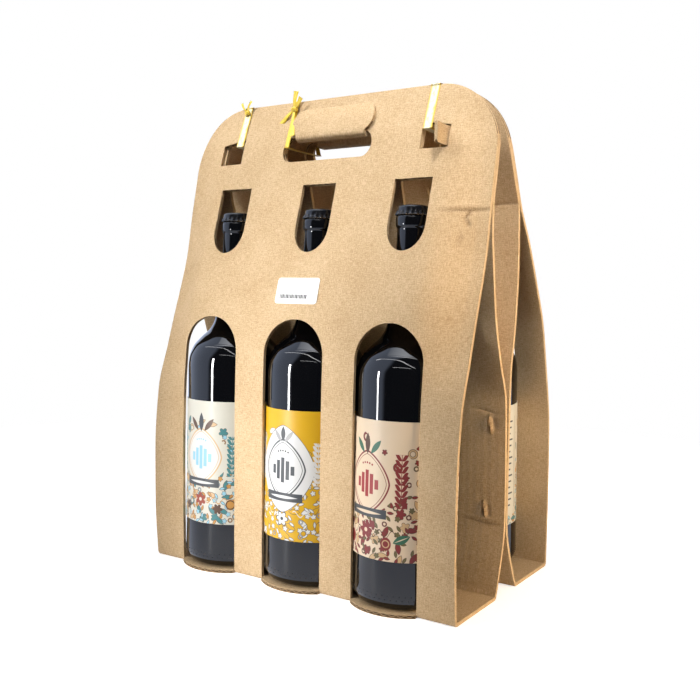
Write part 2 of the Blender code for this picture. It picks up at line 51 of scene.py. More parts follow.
def placeCamera(settings):
    data = bpy.data.cameras.new("studioCamera")
    data.lens, data.sensor_width = settings["lens"], 36
    camera = bpy.data.objects.new("studioCamera", data)
    bpy.context.scene.collection.objects.link(camera)
    yaw = Matrix.Rotation(math.radians(settings["yaw"]), 4, "Z")
    pitch = Matrix.Rotation(math.radians(90 - settings["pitch"]), 4, "X")
    roll = Matrix.Rotation(math.radians(settings["roll"]), 4, "Z")
    camera.matrix_world = Matrix.Translation(settings["place"]) @ yaw @ pitch @ roll
    bpy.context.scene.camera = camera


placeCamera(cameraSettings)


# helpers for pieces and node trees
def newPiece(name, mesh, *materials):
    piece = bpy.data.objects.new(name, mesh)
    bpy.context.scene.collection.objects.link(piece)
    for material in materials:
        mesh.materials.append(material)
    return piece


def finishPiece(piece, slot, *nodes):
    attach(piece, "root")
    if nodes:
        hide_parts(*nodes)


def smoothMesh(mesh, angle):
    mesh.shade_smooth()
    mesh.set_sharp_from_angle(angle=math.radians(angle))


class nodeValue:
    # an output in a node tree: sums with it become math nodes
    def __init__(self, socket):
        self.socket = socket

    def __add__(self, other):
        return calc("ADD", self, other)

    def __sub__(self, other):
        return calc("SUBTRACT", self, other)

    def __rsub__(self, other):
        return calc("SUBTRACT", other, self)

    def __mul__(self, other):
        return calc("MULTIPLY", self, other)

    def __truediv__(self, other):
        return calc("DIVIDE", self, other)

    def __rtruediv__(self, other):
        return calc("DIVIDE", other, self)

    def __abs__(self):
        return calc("ABSOLUTE", self)


def feed(node, **values):
    for label, value in values.items():
        socket = node.inputs[label.replace("_", " ")]
        socket.id_data.links.new(value.socket, socket)


def put(tree, kind, settings=None, inputs=None):
    node = tree.nodes.new(kind)
    for key, value in (settings or {}).items():
        setattr(node, key, value)
    for key, value in (inputs or {}).items():
        if isinstance(value, nodeValue):
            tree.links.new(value.socket, node.inputs[key])
        else:
            node.inputs[key].default_value = value
    return node


def take(tree, kind, settings=None, inputs=None, key=0):
    return nodeValue(put(tree, kind, settings, inputs).outputs[key])


def treeOf(*values):
    return next(value.socket.id_data for value in values if isinstance(value, nodeValue))


def calc(operation, *values):
    return take(treeOf(*values), "ShaderNodeMath", {"operation": operation}, dict(enumerate(values)))


def clamp(value):
    return take(treeOf(value), "ShaderNodeClamp", None, {0: value})


def choose(test, first, second):
    return take(treeOf(test), "ShaderNodeMix", None, {0: test, 2: first, 3: second})


def distance(x, y):
    return calc("SQRT", x * x + y * y)


def vectorCalc(operation, *values, key=0):
    return take(treeOf(*values), "ShaderNodeVectorMath", {"operation": operation}, dict(enumerate(values)), key)


def vectorScale(vector, amount):
    return take(treeOf(vector), "ShaderNodeVectorMath", {"operation": "SCALE"}, {0: vector, "Scale": amount})


def vectorTurn(vector, angle):
    inputs = {"Vector": vector, "Angle": angle}
    return take(treeOf(vector), "ShaderNodeVectorRotate", {"rotation_type": "Z_AXIS"}, inputs)


def vectorParts(vector):
    return [nodeValue(socket) for socket in put(treeOf(vector), "ShaderNodeSeparateXYZ", None, {0: vector}).outputs]


def mixColour(share, first, second):
    return take(treeOf(share), "ShaderNodeMix", {"data_type": "RGBA"}, {0: share, 6: first, 7: second}, 2)


def stretch(value, low, high, first, last):
    return take(treeOf(value), "ShaderNodeMapRange", None, {0: value, 1: low, 2: high, 3: first, 4: last})


def noise(point, scale, detail=2.0, rough=0.5):
    inputs = {"Vector": point, "Scale": scale, "Detail": detail, "Roughness": rough}
    return take(treeOf(point), "ShaderNodeTexNoise", None, inputs)


def newTree(name, kind, inputs, outputs):
    # an input is named with its kind of socket, or with the number it starts at
    tree = bpy.data.node_groups.new(name, kind)
    for label, value in inputs.items():
        socketKind = value if isinstance(value, str) else "Int" if isinstance(value, int) else "Float"
        socket = tree.interface.new_socket(name=label, in_out="INPUT", socket_type="NodeSocket" + socketKind)
        if not isinstance(value, str):
            socket.default_value = value
    for label, socketKind in outputs.items():
        tree.interface.new_socket(name=label, in_out="OUTPUT", socket_type="NodeSocket" + socketKind)
    given = {socket.name: nodeValue(socket) for socket in put(tree, "NodeGroupInput").outputs}
    return tree, given, put(tree, "NodeGroupOutput")


def newGrowth(name, **inputs):
    inputs = {"Geometry": "Geometry", **inputs, "Material": "Material"}
    return newTree(name, "GeometryNodeTree", inputs, {"Geometry": "Geometry"})


def finishGrowth(geometry, given, result):
    tree = result.id_data
    real = take(tree, "GeometryNodeRealizeInstances", None, {0: geometry})
    feed(result, Geometry=take(tree, "GeometryNodeSetMaterial", None, {0: real, "Material": given["Material"]}))
    return tree


def attributeOf(tree, name, kind):
    return take(tree, "GeometryNodeInputNamedAttribute", {"data_type": kind}, {"Name": name})


def useGroup(tree, group, **inputs):
    sockets = put(tree, "ShaderNodeGroup", {"node_tree": group}, inputs).outputs
    return {socket.name: nodeValue(socket) for socket in sockets}


def newMaterial(name, **sockets):
    material = bpy.data.materials.new(name)
    material.use_nodes = True
    shader = material.node_tree.nodes["Principled BSDF"]
    for label, value in sockets.items():
        shader.inputs[label.replace("_", " ")].default_value = value
    return material, material.node_tree, shader


def addBump(shader, height, strength, depth):
    inputs = {"Strength": strength, "Distance": depth, "Height": height}
    feed(shader, Normal=take(shader.id_data, "ShaderNodeBump", None, inputs))


def objectPoint(tree):
    return take(tree, "ShaderNodeTexCoord", key="Object")


def surfacePoint(tree):
    return take(tree, "ShaderNodeUVMap", {"uv_map": "surface"})


def growMesh(mesh, tree, **values):
    base = bpy.data.objects.new("grow", mesh)
    bpy.context.scene.collection.objects.link(base)
    grow = base.modifiers.new("grow", "NODES")
    grow.node_group = tree
    for item in tree.interface.items_tree:
        if item.in_out == "INPUT" and item.name in values:
            grow[item.identifier] = values[item.name]
    bpy.context.view_layer.update()
    grown = bpy.data.meshes.new_from_object(base.evaluated_get(bpy.context.evaluated_depsgraph_get()))
    base.modifiers.clear()
    bpy.data.objects.remove(base)
    bpy.data.meshes.remove(mesh)
    return grown


# kraft paper: mottled fibres, a faint weave and the washboard of the flutes under it
def makeKraftGroup():
    tree, given, result = newTree(
        "kraftPaper", "ShaderNodeTree",
        {"Surface": "Vector", "Pale": "Color", "Deep": "Color", "Mottle": 1.0, "Washboard": 0.3, "Wear": 0.0},
        {"Color": "Color", "Roughness": "Float", "Height": "Float"})
    point = vectorScale(given["Surface"], 1000.0)
    fine = noise(point, 1.1, 3.0, 0.65)
    cloud = noise(point, 0.03, 2.0)
    pulls = ((0.22, 1.5, 1), (1.5, 0.22, 1))
    level, upright = (noise(vectorCalc("MULTIPLY", point, pull), 1.0, 1.0) for pull in pulls)
    weave = level + upright
    tone = fine * 1.7 + weave * 0.9 + cloud * 0.5
    share = clamp((tone - 2.0) * given["Mottle"] + 0.5)
    flecks = stretch(noise(vectorCalc("MULTIPLY", point, (0.45, 0.8, 1)), 0.9, 1.0), 0.64, 0.78, 0.0, 0.4)
    colour = mixColour(flecks, mixColour(share, given["Deep"], given["Pale"]), (0.3, 0.19, 0.1, 1))
    # painted shade: the pressed-in creases are darkened
    shadedCrease = given["Wear"] * stretch(fine, 0.35, 0.6, 1.0, 0.4)
    ripple = calc("SINE", vectorParts(point)[0] * (2 * math.pi / flutePitch))
    feed(result, Color=mixColour(shadedCrease, colour, (0.2, 0.12, 0.06, 1)), Roughness=share * -0.12 + 0.88,
         Height=ripple * given["Washboard"] + fine * 0.5 + weave * 0.4)
    return tree


flutePitch = 6.4  # mm
kraftGroup = makeKraftGroup()
boardColours = {
    "kraftFace": ((0.665, 0.50, 0.31, 1), (0.44, 0.295, 0.155, 1), 1.3, 0.3),
    "linerEdge": ((0.74, 0.56, 0.35, 1), (0.50, 0.35, 0.19, 1), 0.9, 0.0),
    "fluteShade": ((0.22, 0.145, 0.08, 1), (0.12, 0.075, 0.04, 1), 0.8, 0.0),
}


def makeKraftMaterial(name, pale, deep, mottle, washboard):
    material, tree, shader = newMaterial(name, Specular_IOR_Level=0.25)
    # the painted crease shade, carried on the carriers as a point attribute
    wearAndCreaseShade = take(tree, "ShaderNodeAttribute", {"attribute_name": "wearAndCreaseShade"}, key="Fac")
    paper = useGroup(tree, kraftGroup, Surface=surfacePoint(tree), Pale=pale, Deep=deep, Mottle=mottle,
                     Washboard=washboard, Wear=wearAndCreaseShade)
    feed(shader, Base_Color=paper["Color"], Roughness=paper["Roughness"])
    addBump(shader, paper["Height"], 0.5, 0.00025)
    return material


boardMaterials = [makeKraftMaterial(name, *values) for name, values in boardColours.items()]
fluteMaterial = makeKraftMaterial("fluteWave", (0.5, 0.35, 0.2, 1), (0.33, 0.22, 0.12, 1), 0.8, 0.0)
print("kraft paper mixed")


# the course of the two folded carriers: stations of height, middle and side edge in mm
carrierShapes = {
    "front": {
        "outer": ((0, -91.5, -91.5), (50, -92.5, -95.5), (100, -93.5, -96.5), (151, -94, -93), (190, -93.5, -82),
                  (216, -91, -74.5), (250, -83, -64), (271, -76.5, -58.5), (306, -66.5, -53), (325, -61.5, -49.5),
                  (360, -52.5, -43), (401, -38, -36)),
        "back": ((0, -18.2, -18.2), (57.7, -4.9, -4.9), (157, -8.5, -10.3), (185, -13.5, -22), (220, -22, -34.4),
                 (257, -30, -41.5), (289, -38, -46), (306, -42, -46.2), (325, -48, -42.8), (345, -50, -39.5),
                 (360, -45.9, -36.4), (401, -31.4, -29.4)),
    },
    "rear": {
        "outer": ((0, -91.5, -91.5), (60, -91.5, -91), (127, -90, -87), (190, -85.5, -72), (216, -81, -64),
                  (250, -69, -46), (282, -54, -27), (308, -39.5, -8), (330, -20, 3.5), (358, 5.5, 15.5),
                  (380, 14, 17), (401, 18, 18)),
        "back": ((0, -18.2, -18.2), (57.7, 3.8, 3.8), (172, 5.5, 5.5), (220, -1, -1), (259, -3, -3), (306, -0.5, -0.5),
                 (330, 10.5, 10.5), (358, 22.3, 22.3), (401, 24.8, 24.8)),
    },
}
boardSettings = {"thickness": 0.003, "liner": 0.0004, "recess": 0.0007, "halfWidth": 0.148, "top": 0.401,
                 "shoulder": 0.055, "foldRadius": 0.0035, "flatTo": 0.104, "rowStep": 0.0042, "columnStep": 0.0058}
fineRows = {"front": ((0.287, 0.307), (-0.216, -0.190), (-0.148, -0.123)), "rear": ((-0.381, -0.373),)}
fineColumns = ((0.123, 0.139),)
# creases and dents: panel, x, height, length, turn in degrees, width, and lift outwards, in mm
boardMarks = {
    "front": (("outer", 132, 300.5, 44, 1, 1.2, -0.9), ("outer", 130, 304, 40, 1, 1.6, 0.7),
              ("outer", 132, 297, 9, 62, 1.3, -1.4), ("outer", 133, 291, 8, 118, 1.3, -1.2),
              ("outer", 129, 279, 9, 70, 1.6, -0.7), ("outer", -139, 258, 20, 28, 1.3, -0.9),
              ("outer", 120, 356, 34, -20, 8, 0.8), ("back", 135, 137, 15, 100, 1.2, -2.4),
              ("back", 132, 137, 17, 84, 1.3, 1.5), ("back", 138, 138, 13, 94, 1.3, 1.2),
              ("back", 133, 147, 26, -10, 1.5, 0.9), ("back", 131, 68, 14, 100, 1.2, -2.4),
              ("back", 128, 69, 15, 84, 1.3, 1.5), ("back", 134, 67, 12, 94, 1.3, 1.2),
              ("back", 130, 59, 40, -4, 1.3, -0.8)),
    "rear": (("back", -118, 311, 80, 0, 1.3, -0.9), ("outer", -128, 262, 30, -24, 1.4, -0.9),
             ("outer", 120, 120, 24, 70, 2, -0.7)),
}


def stationPlace(stations, height, column):
    heights = np.array([row[0] for row in stations]) * 0.001
    places = np.array([row[column] for row in stations]) * 0.001
    rises = np.diff(places) / np.diff(heights)
    slopes = np.concatenate([rises[:1], np.zeros(len(rises) - 1), rises[-1:]])
    for k in range(1, len(rises)):
        below, above = rises[k - 1], rises[k]
        if below * above > 0:
            slopes[k] = 2 * below * above / (below + above)
    i = np.clip(np.searchsorted(heights, height) - 1, 0, len(rises) - 1)
    span = heights[i + 1] - heights[i]
    t = np.clip((height - heights[i]) / span, 0, 1)
    start = (2 * t ** 3 - 3 * t ** 2 + 1) * places[i] + (t ** 3 - 2 * t ** 2 + t) * span * slopes[i]
    end = (3 * t ** 2 - 2 * t ** 3) * places[i + 1] + (t ** 3 - t ** 2) * span * slopes[i + 1]
    return start + end


def panelPlace(stations, x, height):
    flat, half = boardSettings["flatTo"], boardSettings["halfWidth"]
    t = np.clip((np.abs(x) - flat) / (half - flat), 0, 1)
    middle = 1 - t * t * (3 - 2 * t)
    return middle * stationPlace(stations, height, 1) + (1 - middle) * stationPlace(stations, height, 2)


def panelAt(row, panel, x, height):
    return float(panelPlace(carrierShapes[row][panel], np.array([x]), np.array([height]))[0])


def markLift(row, panel, x, height):
    lift = np.zeros_like(x)
    for where, cx, cz, length, turn, width, amount in boardMarks[row]:
        if where == panel:
            turn = math.radians(turn)
            dx, dz = x * 1000 - cx, height * 1000 - cz
            along = (dx * math.cos(turn) + dz * math.sin(turn)) / (length / 2)
            beside = (dz * math.cos(turn) - dx * math.sin(turn)) / width
            lift += amount * 0.001 * np.exp(-beside ** 2) * np.clip(1 - along ** 2, 0, 1)
    return lift


def baseEnds(row):
    fold = boardSettings["foldRadius"]
    return carrierShapes[row]["outer"][0][1] * 0.001 + fold, carrierShapes[row]["back"][0][1] * 0.001 - fold


def carrierCourse(row, x, s):
    # s is the height on the outer panel, 0 at the base's front and below zero on towards the back panel's top
    shape = carrierShapes[row]
    fold = boardSettings["foldRadius"]
    start, end = baseEnds(row)
    z = -s - (end - start)
    frontTurn = math.pi + (1 - s / fold) * math.pi / 2
    backTurn = -math.pi / 2 + z / fold * math.pi / 2
    beside = np.min([np.abs(x - cx) for cx in bottleCentres], axis=0)
    onTongue = (s > 0) & (s < windowSettings["tongueReach"]) & (beside < windowSettings["tongueHalf"] + 0.00025)
    choices = [onTongue | ((s < 0) & (z <= 0)), s >= fold, s >= 0, z <= fold]
    y = np.select(choices, [start - s, panelPlace(shape["outer"], x, s) - markLift(row, "outer", x, s),
                            start + fold * np.cos(frontTurn), end + fold * np.cos(backTurn)],
                  panelPlace(shape["back"], x, z) + markLift(row, "back", x, z))
    up = np.select(choices, [np.zeros_like(s), s, fold * (1 + np.sin(frontTurn)), fold * (1 + np.sin(backTurn))], z)
    return y, up


def spotOn(course):
    # carries a flat point (x, s), at a depth below the outer face, onto a folded course
    def spot(x, s, depth):
        step = 0.0002
        y, z = course(x, s)
        aheadY, aheadZ = course(x, s - step)
        behindY, behindZ = course(x, s + step)
        dy, dz = aheadY - behindY, aheadZ - behindZ
        length = np.hypot(dy, dz)
        return np.stack([x, y - dz / length * depth, z + dy / length * depth], axis=1)
    return spot


def arc(cx, cy, rx, ry, start, end, steps):
    angles = np.radians(np.linspace(start, end, steps + 1))
    return [(cx + rx * math.cos(a), cy + ry * math.sin(a)) for a in angles]


def makeSheet(outlines, rows, columns):
    # a flat board between its outlines, cut into rows and columns
    sheet = bmesh.new()
    edges = []
    for outline in outlines:
        ring = [sheet.verts.new((x, s, 0)) for x, s in outline]
        edges += [sheet.edges.new(pair) for pair in zip(ring, ring[1:] + ring[:1])]
    bmesh.ops.triangle_fill(sheet, use_beauty=True, edges=edges, normal=(0, 0, 1))
    for axis, places in ((1, rows), (0, columns)):
        normal = Vector((0, 0, 0))
        normal[axis] = 1
        for place in places:
            everything = sheet.verts[:] + sheet.edges[:] + sheet.faces[:]
            bmesh.ops.bisect_plane(sheet, geom=everything, dist=2e-6, plane_co=normal * place, plane_no=normal)
    slants = [e for e in sheet.edges if len(e.link_faces) == 2
              and min(abs(e.verts[0].co.x - e.verts[1].co.x), abs(e.verts[0].co.y - e.verts[1].co.y)) > 4e-6]
    bmesh.ops.dissolve_edges(sheet, edges=slants, use_verts=False)
    spare = [v for v in sheet.verts if len(v.link_edges) == 2 and not v.is_boundary]
    bmesh.ops.dissolve_verts(sheet, verts=spare)
    bmesh.ops.recalc_face_normals(sheet, faces=sheet.faces)
    if sum(face.normal.z * face.calc_area() for face in sheet.faces) < 0:
        bmesh.ops.reverse_faces(sheet, faces=sheet.faces)
    return sheet


def boardMesh(name, outlines, rows, columns, spot, thickness=boardSettings["thickness"], recess=boardSettings["recess"],
              taper=None):
    # both faces of a board, and a cut edge that is sunk between the liners where it crosses the flutes
    sheet = makeSheet(outlines, rows, columns)
    sheet.verts.index_update()
    flat = np.array([vert.co[:2] for vert in sheet.verts])
    count = len(flat)
    faces = [[vert.index for vert in face.verts] for face in sheet.faces]
    loops = [edge.link_loops[0] for edge in sheet.edges if len(edge.link_faces) == 1]
    rim = [(loop.vert.index, loop.link_loop_next.vert.index) for loop in loops]
    sheet.free()

    inward = np.zeros((count, 2))
    arriving = {b: a for a, b in rim}
    for a, b in rim:
        before, after = flat[a] - flat[arriving[a]], flat[b] - flat[a]
        before, after = before / np.linalg.norm(before), after / np.linalg.norm(after)
        normals = np.array([(-before[1], before[0]), (-after[1], after[0])])
        inward[a] = normals.sum(axis=0) / max(1 + normals[0] @ normals[1], 0.6)
    border = np.array([a for a, b in rim])
    place = {a: k for k, a in enumerate(border)}
    crossing = np.array([abs(flat[b][0] - flat[a][0]) / np.linalg.norm(flat[b] - flat[a]) for a, b in rim])

    thick = np.full(count, thickness) if taper is None else taper(flat[:, 1])
    liner = np.minimum(boardSettings["liner"], 0.3 * thick[border])
    layers = [spot(flat[:, 0], flat[:, 1], np.zeros(count)), spot(flat[:, 0], flat[:, 1], thick)]
    if recess:
        sunk = recess * np.minimum(thick[border] / boardSettings["thickness"], 1) * np.clip(crossing * 3, 0.15, 1)
        below = thick[border] - liner
        for depth, inset in ((liner, 0 * sunk), (liner, sunk), (below, sunk), (below, 0 * sunk)):
            moved = flat[border] + inward[border] * inset[:, None]
            layers.append(spot(moved[:, 0], moved[:, 1], depth))
    starts = np.cumsum([0] + [len(layer) for layer in layers])

    allFaces = faces + [[count + i for i in reversed(face)] for face in faces]
    kinds = [0] * len(allFaces)
    surfaces = [flat[i] for face in faces for i in face] + [flat[i] for face in faces for i in reversed(face)]
    for a, b in rim:
        steps = [(starts[k] + place[a], starts[k] + place[b]) for k in range(2, len(layers))]
        steps = [(a, b)] + steps + [(count + a, count + b)]
        for k, ((a0, b0), (a1, b1)) in enumerate(zip(steps, steps[1:])):
            allFaces.append([int(i) for i in (a0, a1, b1, b0)])
            shut = k in (0, len(steps) - 2) or crossing[place[a]] < 0.25
            kinds.append(0 if not recess else 1 if shut else 2)
            near, far = (0, 0.0006 * k), (0, 0.0006 * (k + 1))
            surfaces += [flat[a] + near, flat[a] + far, flat[b] + far, flat[b] + near]
    mesh = bpy.data.meshes.new(name)
    mesh.from_pydata(np.concatenate(layers).tolist(), [], allFaces)
    mesh.polygons.foreach_set("material_index", kinds)
    layer = mesh.uv_layers.new(name="surface")
    layer.data.foreach_set("uv", np.array(surfaces).ravel())
    smoothMesh(mesh, 32)
    return mesh, flat, inward, rim, thick, crossing


def rimPath(name, flat, inward, rim, thick, crossing, spot):
    # the line that the cut fluting follows, with the way across the board and how far the cut crosses the flutes
    border = [a for a, b in rim]
    place = {a: k for k, a in enumerate(border)}
    inner = flat[border] + inward[border] * 0.00045
    half = thick[border] / 2
    middle = spot(inner[:, 0], inner[:, 1], half)
    across = spot(inner[:, 0], inner[:, 1], half + 0.0005) - middle
    across /= np.linalg.norm(across, axis=1)[:, None]
    crossing = crossing * np.clip((thick[border] - 0.0009) / 0.0021, 0, 1)
    mesh = bpy.data.meshes.new(name)
    mesh.from_pydata(middle.tolist(), [(place[a], place[b]) for a, b in rim], [])
    mesh.attributes.new("across", "FLOAT_VECTOR", "POINT").data.foreach_set("vector", across.ravel())
    mesh.attributes.new("crossing", "FLOAT", "POINT").data.foreach_set("value", crossing)
    return mesh


def makeFluteTree():
    tree, given, result = newGrowth("fluteWave", Step=0.001, Pitch=0.0065, Height=0.0009, Girth=0.0004)
    curve = take(tree, "GeometryNodeMeshToCurve", None, {0: given["Geometry"]})
    evenly = take(tree, "GeometryNodeResampleCurve", {"mode": "LENGTH"}, {"Curve": curve, "Length": given["Step"]})
    length = take(tree, "GeometryNodeSplineParameter", key="Length")
    wave = calc("SINE", length / given["Pitch"] * (2 * math.pi))
    lift = wave * given["Height"] * attributeOf(tree, "crossing", "FLOAT")
    offset = vectorScale(attributeOf(tree, "across", "FLOAT_VECTOR"), lift)
    waved = take(tree, "GeometryNodeSetPosition", None, {"Geometry": evenly, "Offset": offset})
    profile = take(tree, "GeometryNodeCurvePrimitiveCircle", None, {"Resolution": 4, "Radius": given["Girth"]})
    return finishGrowth(take(tree, "GeometryNodeCurveToMesh", None, {0: waved, 1: profile}), given, result)


fluteTree = makeFluteTree()
fluteSettings = {"Step": 0.0011, "Pitch": 0.0065, "Height": 0.0007, "Girth": 0.0004}
windowSettings = {"archHalf": 0.029, "archTop": 0.2165, "neckHalf": 0.0165, "neckTop": 0.3265, "neckBottom": 0.2705,
                  "neckRound": 0.02, "lockInner": 0.0885, "lockOuter": 0.1125, "tabInset": 0.0025, "lockBottom": 0.349,
                  "lockTopInner": 0.3708, "lockTopOuter": 0.3668, "slotHalf": 0.044, "slotBottom": 0.347,
                  "slotTop": 0.3685, "slotRound": 0.0085, "tongueRadius": 0.0436, "tongueHalf": 0.0286,
                  "tongueReach": 0.0168, "axis": 0.0598}


def archOutline(row, cx):
    # up and over the arch, then round the tongue of base board that stands under the bottle
    w = windowSettings
    arch = arc(cx, w["archTop"] - w["archHalf"], w["archHalf"], w["archHalf"], 0, 180, 36)
    tongue = []
    for x in np.linspace(-w["tongueHalf"], w["tongueHalf"], 21):
        reach = w["axis"] + math.sqrt(w["tongueRadius"] ** 2 - x * x)
        tongue.append((cx + x, baseEnds(row)[0] + reach))
    foot = [(cx - w["archHalf"], 0.0), (cx - w["tongueHalf"], 0.0)]
    return arch + foot + tongue + [(cx + w["tongueHalf"], 0.0), (cx + w["archHalf"], 0.0)]


def panelWindows(inset):
    w = windowSettings
    outlines = []
    for cx in bottleCentres:
        bottom = arc(cx, w["neckBottom"] + w["neckRound"], w["neckHalf"], w["neckRound"], 180, 360, 20)
        outlines.append(bottom + [(cx + w["neckHalf"], w["neckTop"]), (cx - w["neckHalf"], w["neckTop"])])
    middle, half = (w["slotBottom"] + w["slotTop"]) / 2, (w["slotTop"] - w["slotBottom"]) / 2
    right = arc(w["slotHalf"] - w["slotRound"], middle, w["slotRound"], half, -90, 90, 14)
    outlines.append(right + [(-x, z) for x, z in reversed(right)])
    outer = w["lockOuter"] - inset
    for side in (-1, 1):
        outlines.append([(side * w["lockInner"], w["lockBottom"]), (side * outer, w["lockBottom"]),
                         (side * outer, w["lockTopOuter"]), (side * w["lockInner"], w["lockTopInner"])])
    return outlines


def carrierOutlines(row):
    b = boardSettings
    start, end = baseEnds(row)
    length = end - start
    side = b["halfWidth"] - b["shoulder"]
    top = arc(side, b["top"] - b["shoulder"], b["shoulder"], b["shoulder"], 0, 90, 20)
    top += [(-x, z) for x, z in reversed(top)]
    outlines = [top + [(-x, -length - z) for x, z in top]]
    outlines += [archOutline(row, cx) for cx in bottleCentres] + panelWindows(0)
    outlines += [[(x, -length - z) for x, z in outline] for outline in panelWindows(windowSettings["tabInset"])]
    return outlines


def carrierRows(row):
    b = boardSettings
    start, end = baseEnds(row)
    length = end - start
    heights = [b["foldRadius"] * k / 6 for k in range(7)]
    heights += list(np.arange(b["foldRadius"] + b["rowStep"], b["top"] - 0.001, b["rowStep"]))
    rows = heights + [-length - z for z in heights] + list(np.arange(0.008 - length, -0.004, 0.008))
    for low, high in fineRows[row]:
        rows += list(np.arange(low, high, 0.0013) + 0.0003)
    return sorted(rows)


def carrierColumns():
    b = boardSettings
    columns = list(np.arange(-b["halfWidth"] + 0.003, b["halfWidth"] - 0.001, b["columnStep"]))
    for low, high in fineColumns:
        columns += list(np.arange(low, high, 0.0014) + 0.0002)
    return sorted(columns)


flapSettings = {"low": 0.3671, "turn": 0.001, "off": 0.0006, "drop": 0.0006, "rise": 0.024, "half": 0.040,
                "rootHalf": 0.034, "round": 0.0085, "centre": 0.003, "thinFrom": 0.012, "thinBy": 0.0022}


def flapCourse(row):
    # the hand flap goes down from the back panel, out through the slot and up over the outer panel
    f = flapSettings
    low, turn = f["low"], f["turn"]
    backY = panelAt(row, "back", 0.0, low) - boardSettings["thickness"]
    frontY = panelAt(row, "outer", 0.0, low + turn) - f["off"]
    marks = np.cumsum([f["drop"], turn * math.pi / 2, backY - frontY - 2 * turn, turn * math.pi / 2])

    def course(x, s):
        t = -s
        first = -(t - marks[0]) / turn
        last = -math.pi / 2 - (t - marks[2]) / turn
        z = low + turn + t - marks[3]
        choices = [t <= marks[0], t <= marks[1], t <= marks[2], t <= marks[3]]
        y = np.select(choices, [np.full_like(t, backY), backY - turn + turn * np.cos(first),
                                backY - turn - (t - marks[1]), frontY + turn * (1 + np.cos(last))],
                      panelPlace(carrierShapes[row]["outer"], x, np.minimum(z, boardSettings["top"])) - f["off"])
        up = np.select(choices, [low + turn + marks[0] - t, low + turn + turn * np.sin(first),
                                 np.full_like(t, low), low + turn * (1 + np.sin(last))], z)
        return y, up
    return course, marks


def makeFlap(row):
    f = flapSettings
    course, marks = flapCourse(row)
    centre = -f["centre"] if row == "rear" else f["centre"]
    waist, end = marks[3], marks[3] + f["rise"]
    side = arc(centre + f["half"] - f["round"], -(waist + end) / 2, f["round"], f["rise"] / 2, 68, -90, 18)
    right = [(centre + f["rootHalf"], 0.0), (centre + f["rootHalf"], -waist)] + side
    outline = right + [(2 * centre - x, s) for x, s in reversed(right)]
    rows = [-m for m in marks] + list(-np.arange(waist + 0.003, end, 0.003))
    for low, high in ((marks[0], marks[1]), (marks[2], marks[3])):
        rows += [-low - (high - low) * k / 4 for k in range(1, 4)]
    columns = list(np.arange(centre - f["half"] + 0.002, centre + f["half"], 0.004))
    spot = spotOn(course)

    def thinTop(s):
        # the top is pressed flat against the panel
        pressed = np.clip((-s - (end - f["thinFrom"])) / f["thinFrom"], 0, 1) ** 1.5
        return boardSettings["thickness"] - f["thinBy"] * pressed

    mesh, *edge = boardMesh("flap", [outline], sorted(rows), columns, spot, taper=thinTop)
    return mesh, rimPath("flap", *edge, spot)


tabSettings = {"length": 0.022, "height": 0.0145, "middle": 0.3579, "hinge": 0.1106, "turn": 88, "bow": 0.0012}


def makeTab(row):
    # the locking tab swings out through the lock window
    t = tabSettings
    length, height = t["length"], t["height"]
    hingeY = panelAt(row, "back", t["hinge"], t["middle"]) - 0.0012
    turn = math.radians(t["turn"])

    def spot(x, s, depth):
        aside = 0.0013 - depth + t["bow"] * np.sin(np.clip(x / length, 0, 1) * math.pi)
        return np.stack([t["hinge"] - x * math.cos(turn) - aside * math.sin(turn),
                         hingeY - x * math.sin(turn) + aside * math.cos(turn), t["middle"] + s], axis=1)

    lower = arc(length - 0.002, 0.002 - height / 2, 0.002, 0.002, -90, 0, 5)
    upper = arc(length - 0.001, height / 2, 0.001, 0.001, 0, 90, 5)
    outline = [(0.0, -height / 2)] + lower + upper + [(0.0, height / 2)]
    columns = list(np.arange(0.002, length, 0.002))
    mesh, *edge = boardMesh("tab", [outline], [-0.004, 0.0, 0.004], columns, spot, 0.0026)
    return mesh, rimPath("tab", *edge, spot)


def addWear(mesh, row, flat):
    # painted shade: the pressed-in creases are darkened on both faces
    start, end = baseEnds(row)
    lift = markLift(row, "outer", flat[:, 0], flat[:, 1])
    lift += markLift(row, "back", flat[:, 0], start - end - flat[:, 1])
    wearAndCreaseShade = np.zeros(len(mesh.vertices))
    wearAndCreaseShade[:2 * len(flat)] = np.tile(np.clip(-lift / 0.0012, 0, 1), 2)
    mesh.attributes.new("wearAndCreaseShade", "FLOAT", "POINT").data.foreach_set("value", wearAndCreaseShade)


def makeCarrier(row):
    spot = spotOn(lambda x, s: carrierCourse(row, x, s))
    mesh, *edge = boardMesh("carrier", carrierOutlines(row), carrierRows(row), carrierColumns(), spot)
    addWear(mesh, row, edge[0])
    pieces = {"carrier": (mesh, rimPath("carrier", *edge, spot)), "handFlap": makeFlap(row), "lockTab": makeTab(row)}
    for name, (mesh, path) in pieces.items():
        flutes = growMesh(path, fluteTree, Material=fluteMaterial, **fluteSettings)
        corners = np.zeros(len(flutes.loops), dtype=int)
        flutes.loops.foreach_get("vertex_index", corners)
        spots = np.zeros(len(flutes.vertices) * 3)
        flutes.vertices.foreach_get("co", spots)
        surface = flutes.uv_layers.new(name="surface")
        surface.data.foreach_set("uv", spots.reshape(-1, 3)[corners][:, [0, 2]].ravel())
        smoothMesh(flutes, 50)
        if row == "rear":
            mesh.transform(halfTurn)
            flutes.transform(halfTurn)
        finishPiece(newPiece(name + row.title(), mesh, *boardMaterials), "kraft_board", "carrier_" + row)
        finishPiece(newPiece(name + "Flutes" + row.title(), flutes), "kraft_board", "carrier_" + row)
        print(name, row, len(mesh.polygons), "faces,", len(flutes.polygons), "in its flutes")


makeCarrier("front")
makeCarrier("rear")


# bottles of near black glass
bottleSettings = {"sides": 96, "axis": 0.0598, "floor": 0.0034, "lean": 3.5}
bottleStations = ((11, 41), (168, 41), (176.5, 40.2), (186.5, 36.5), (194.8, 29.5), (201.5, 22.5), (210, 18.4),
                  (230, 15.6), (260, 12.9), (284.8, 12.0))


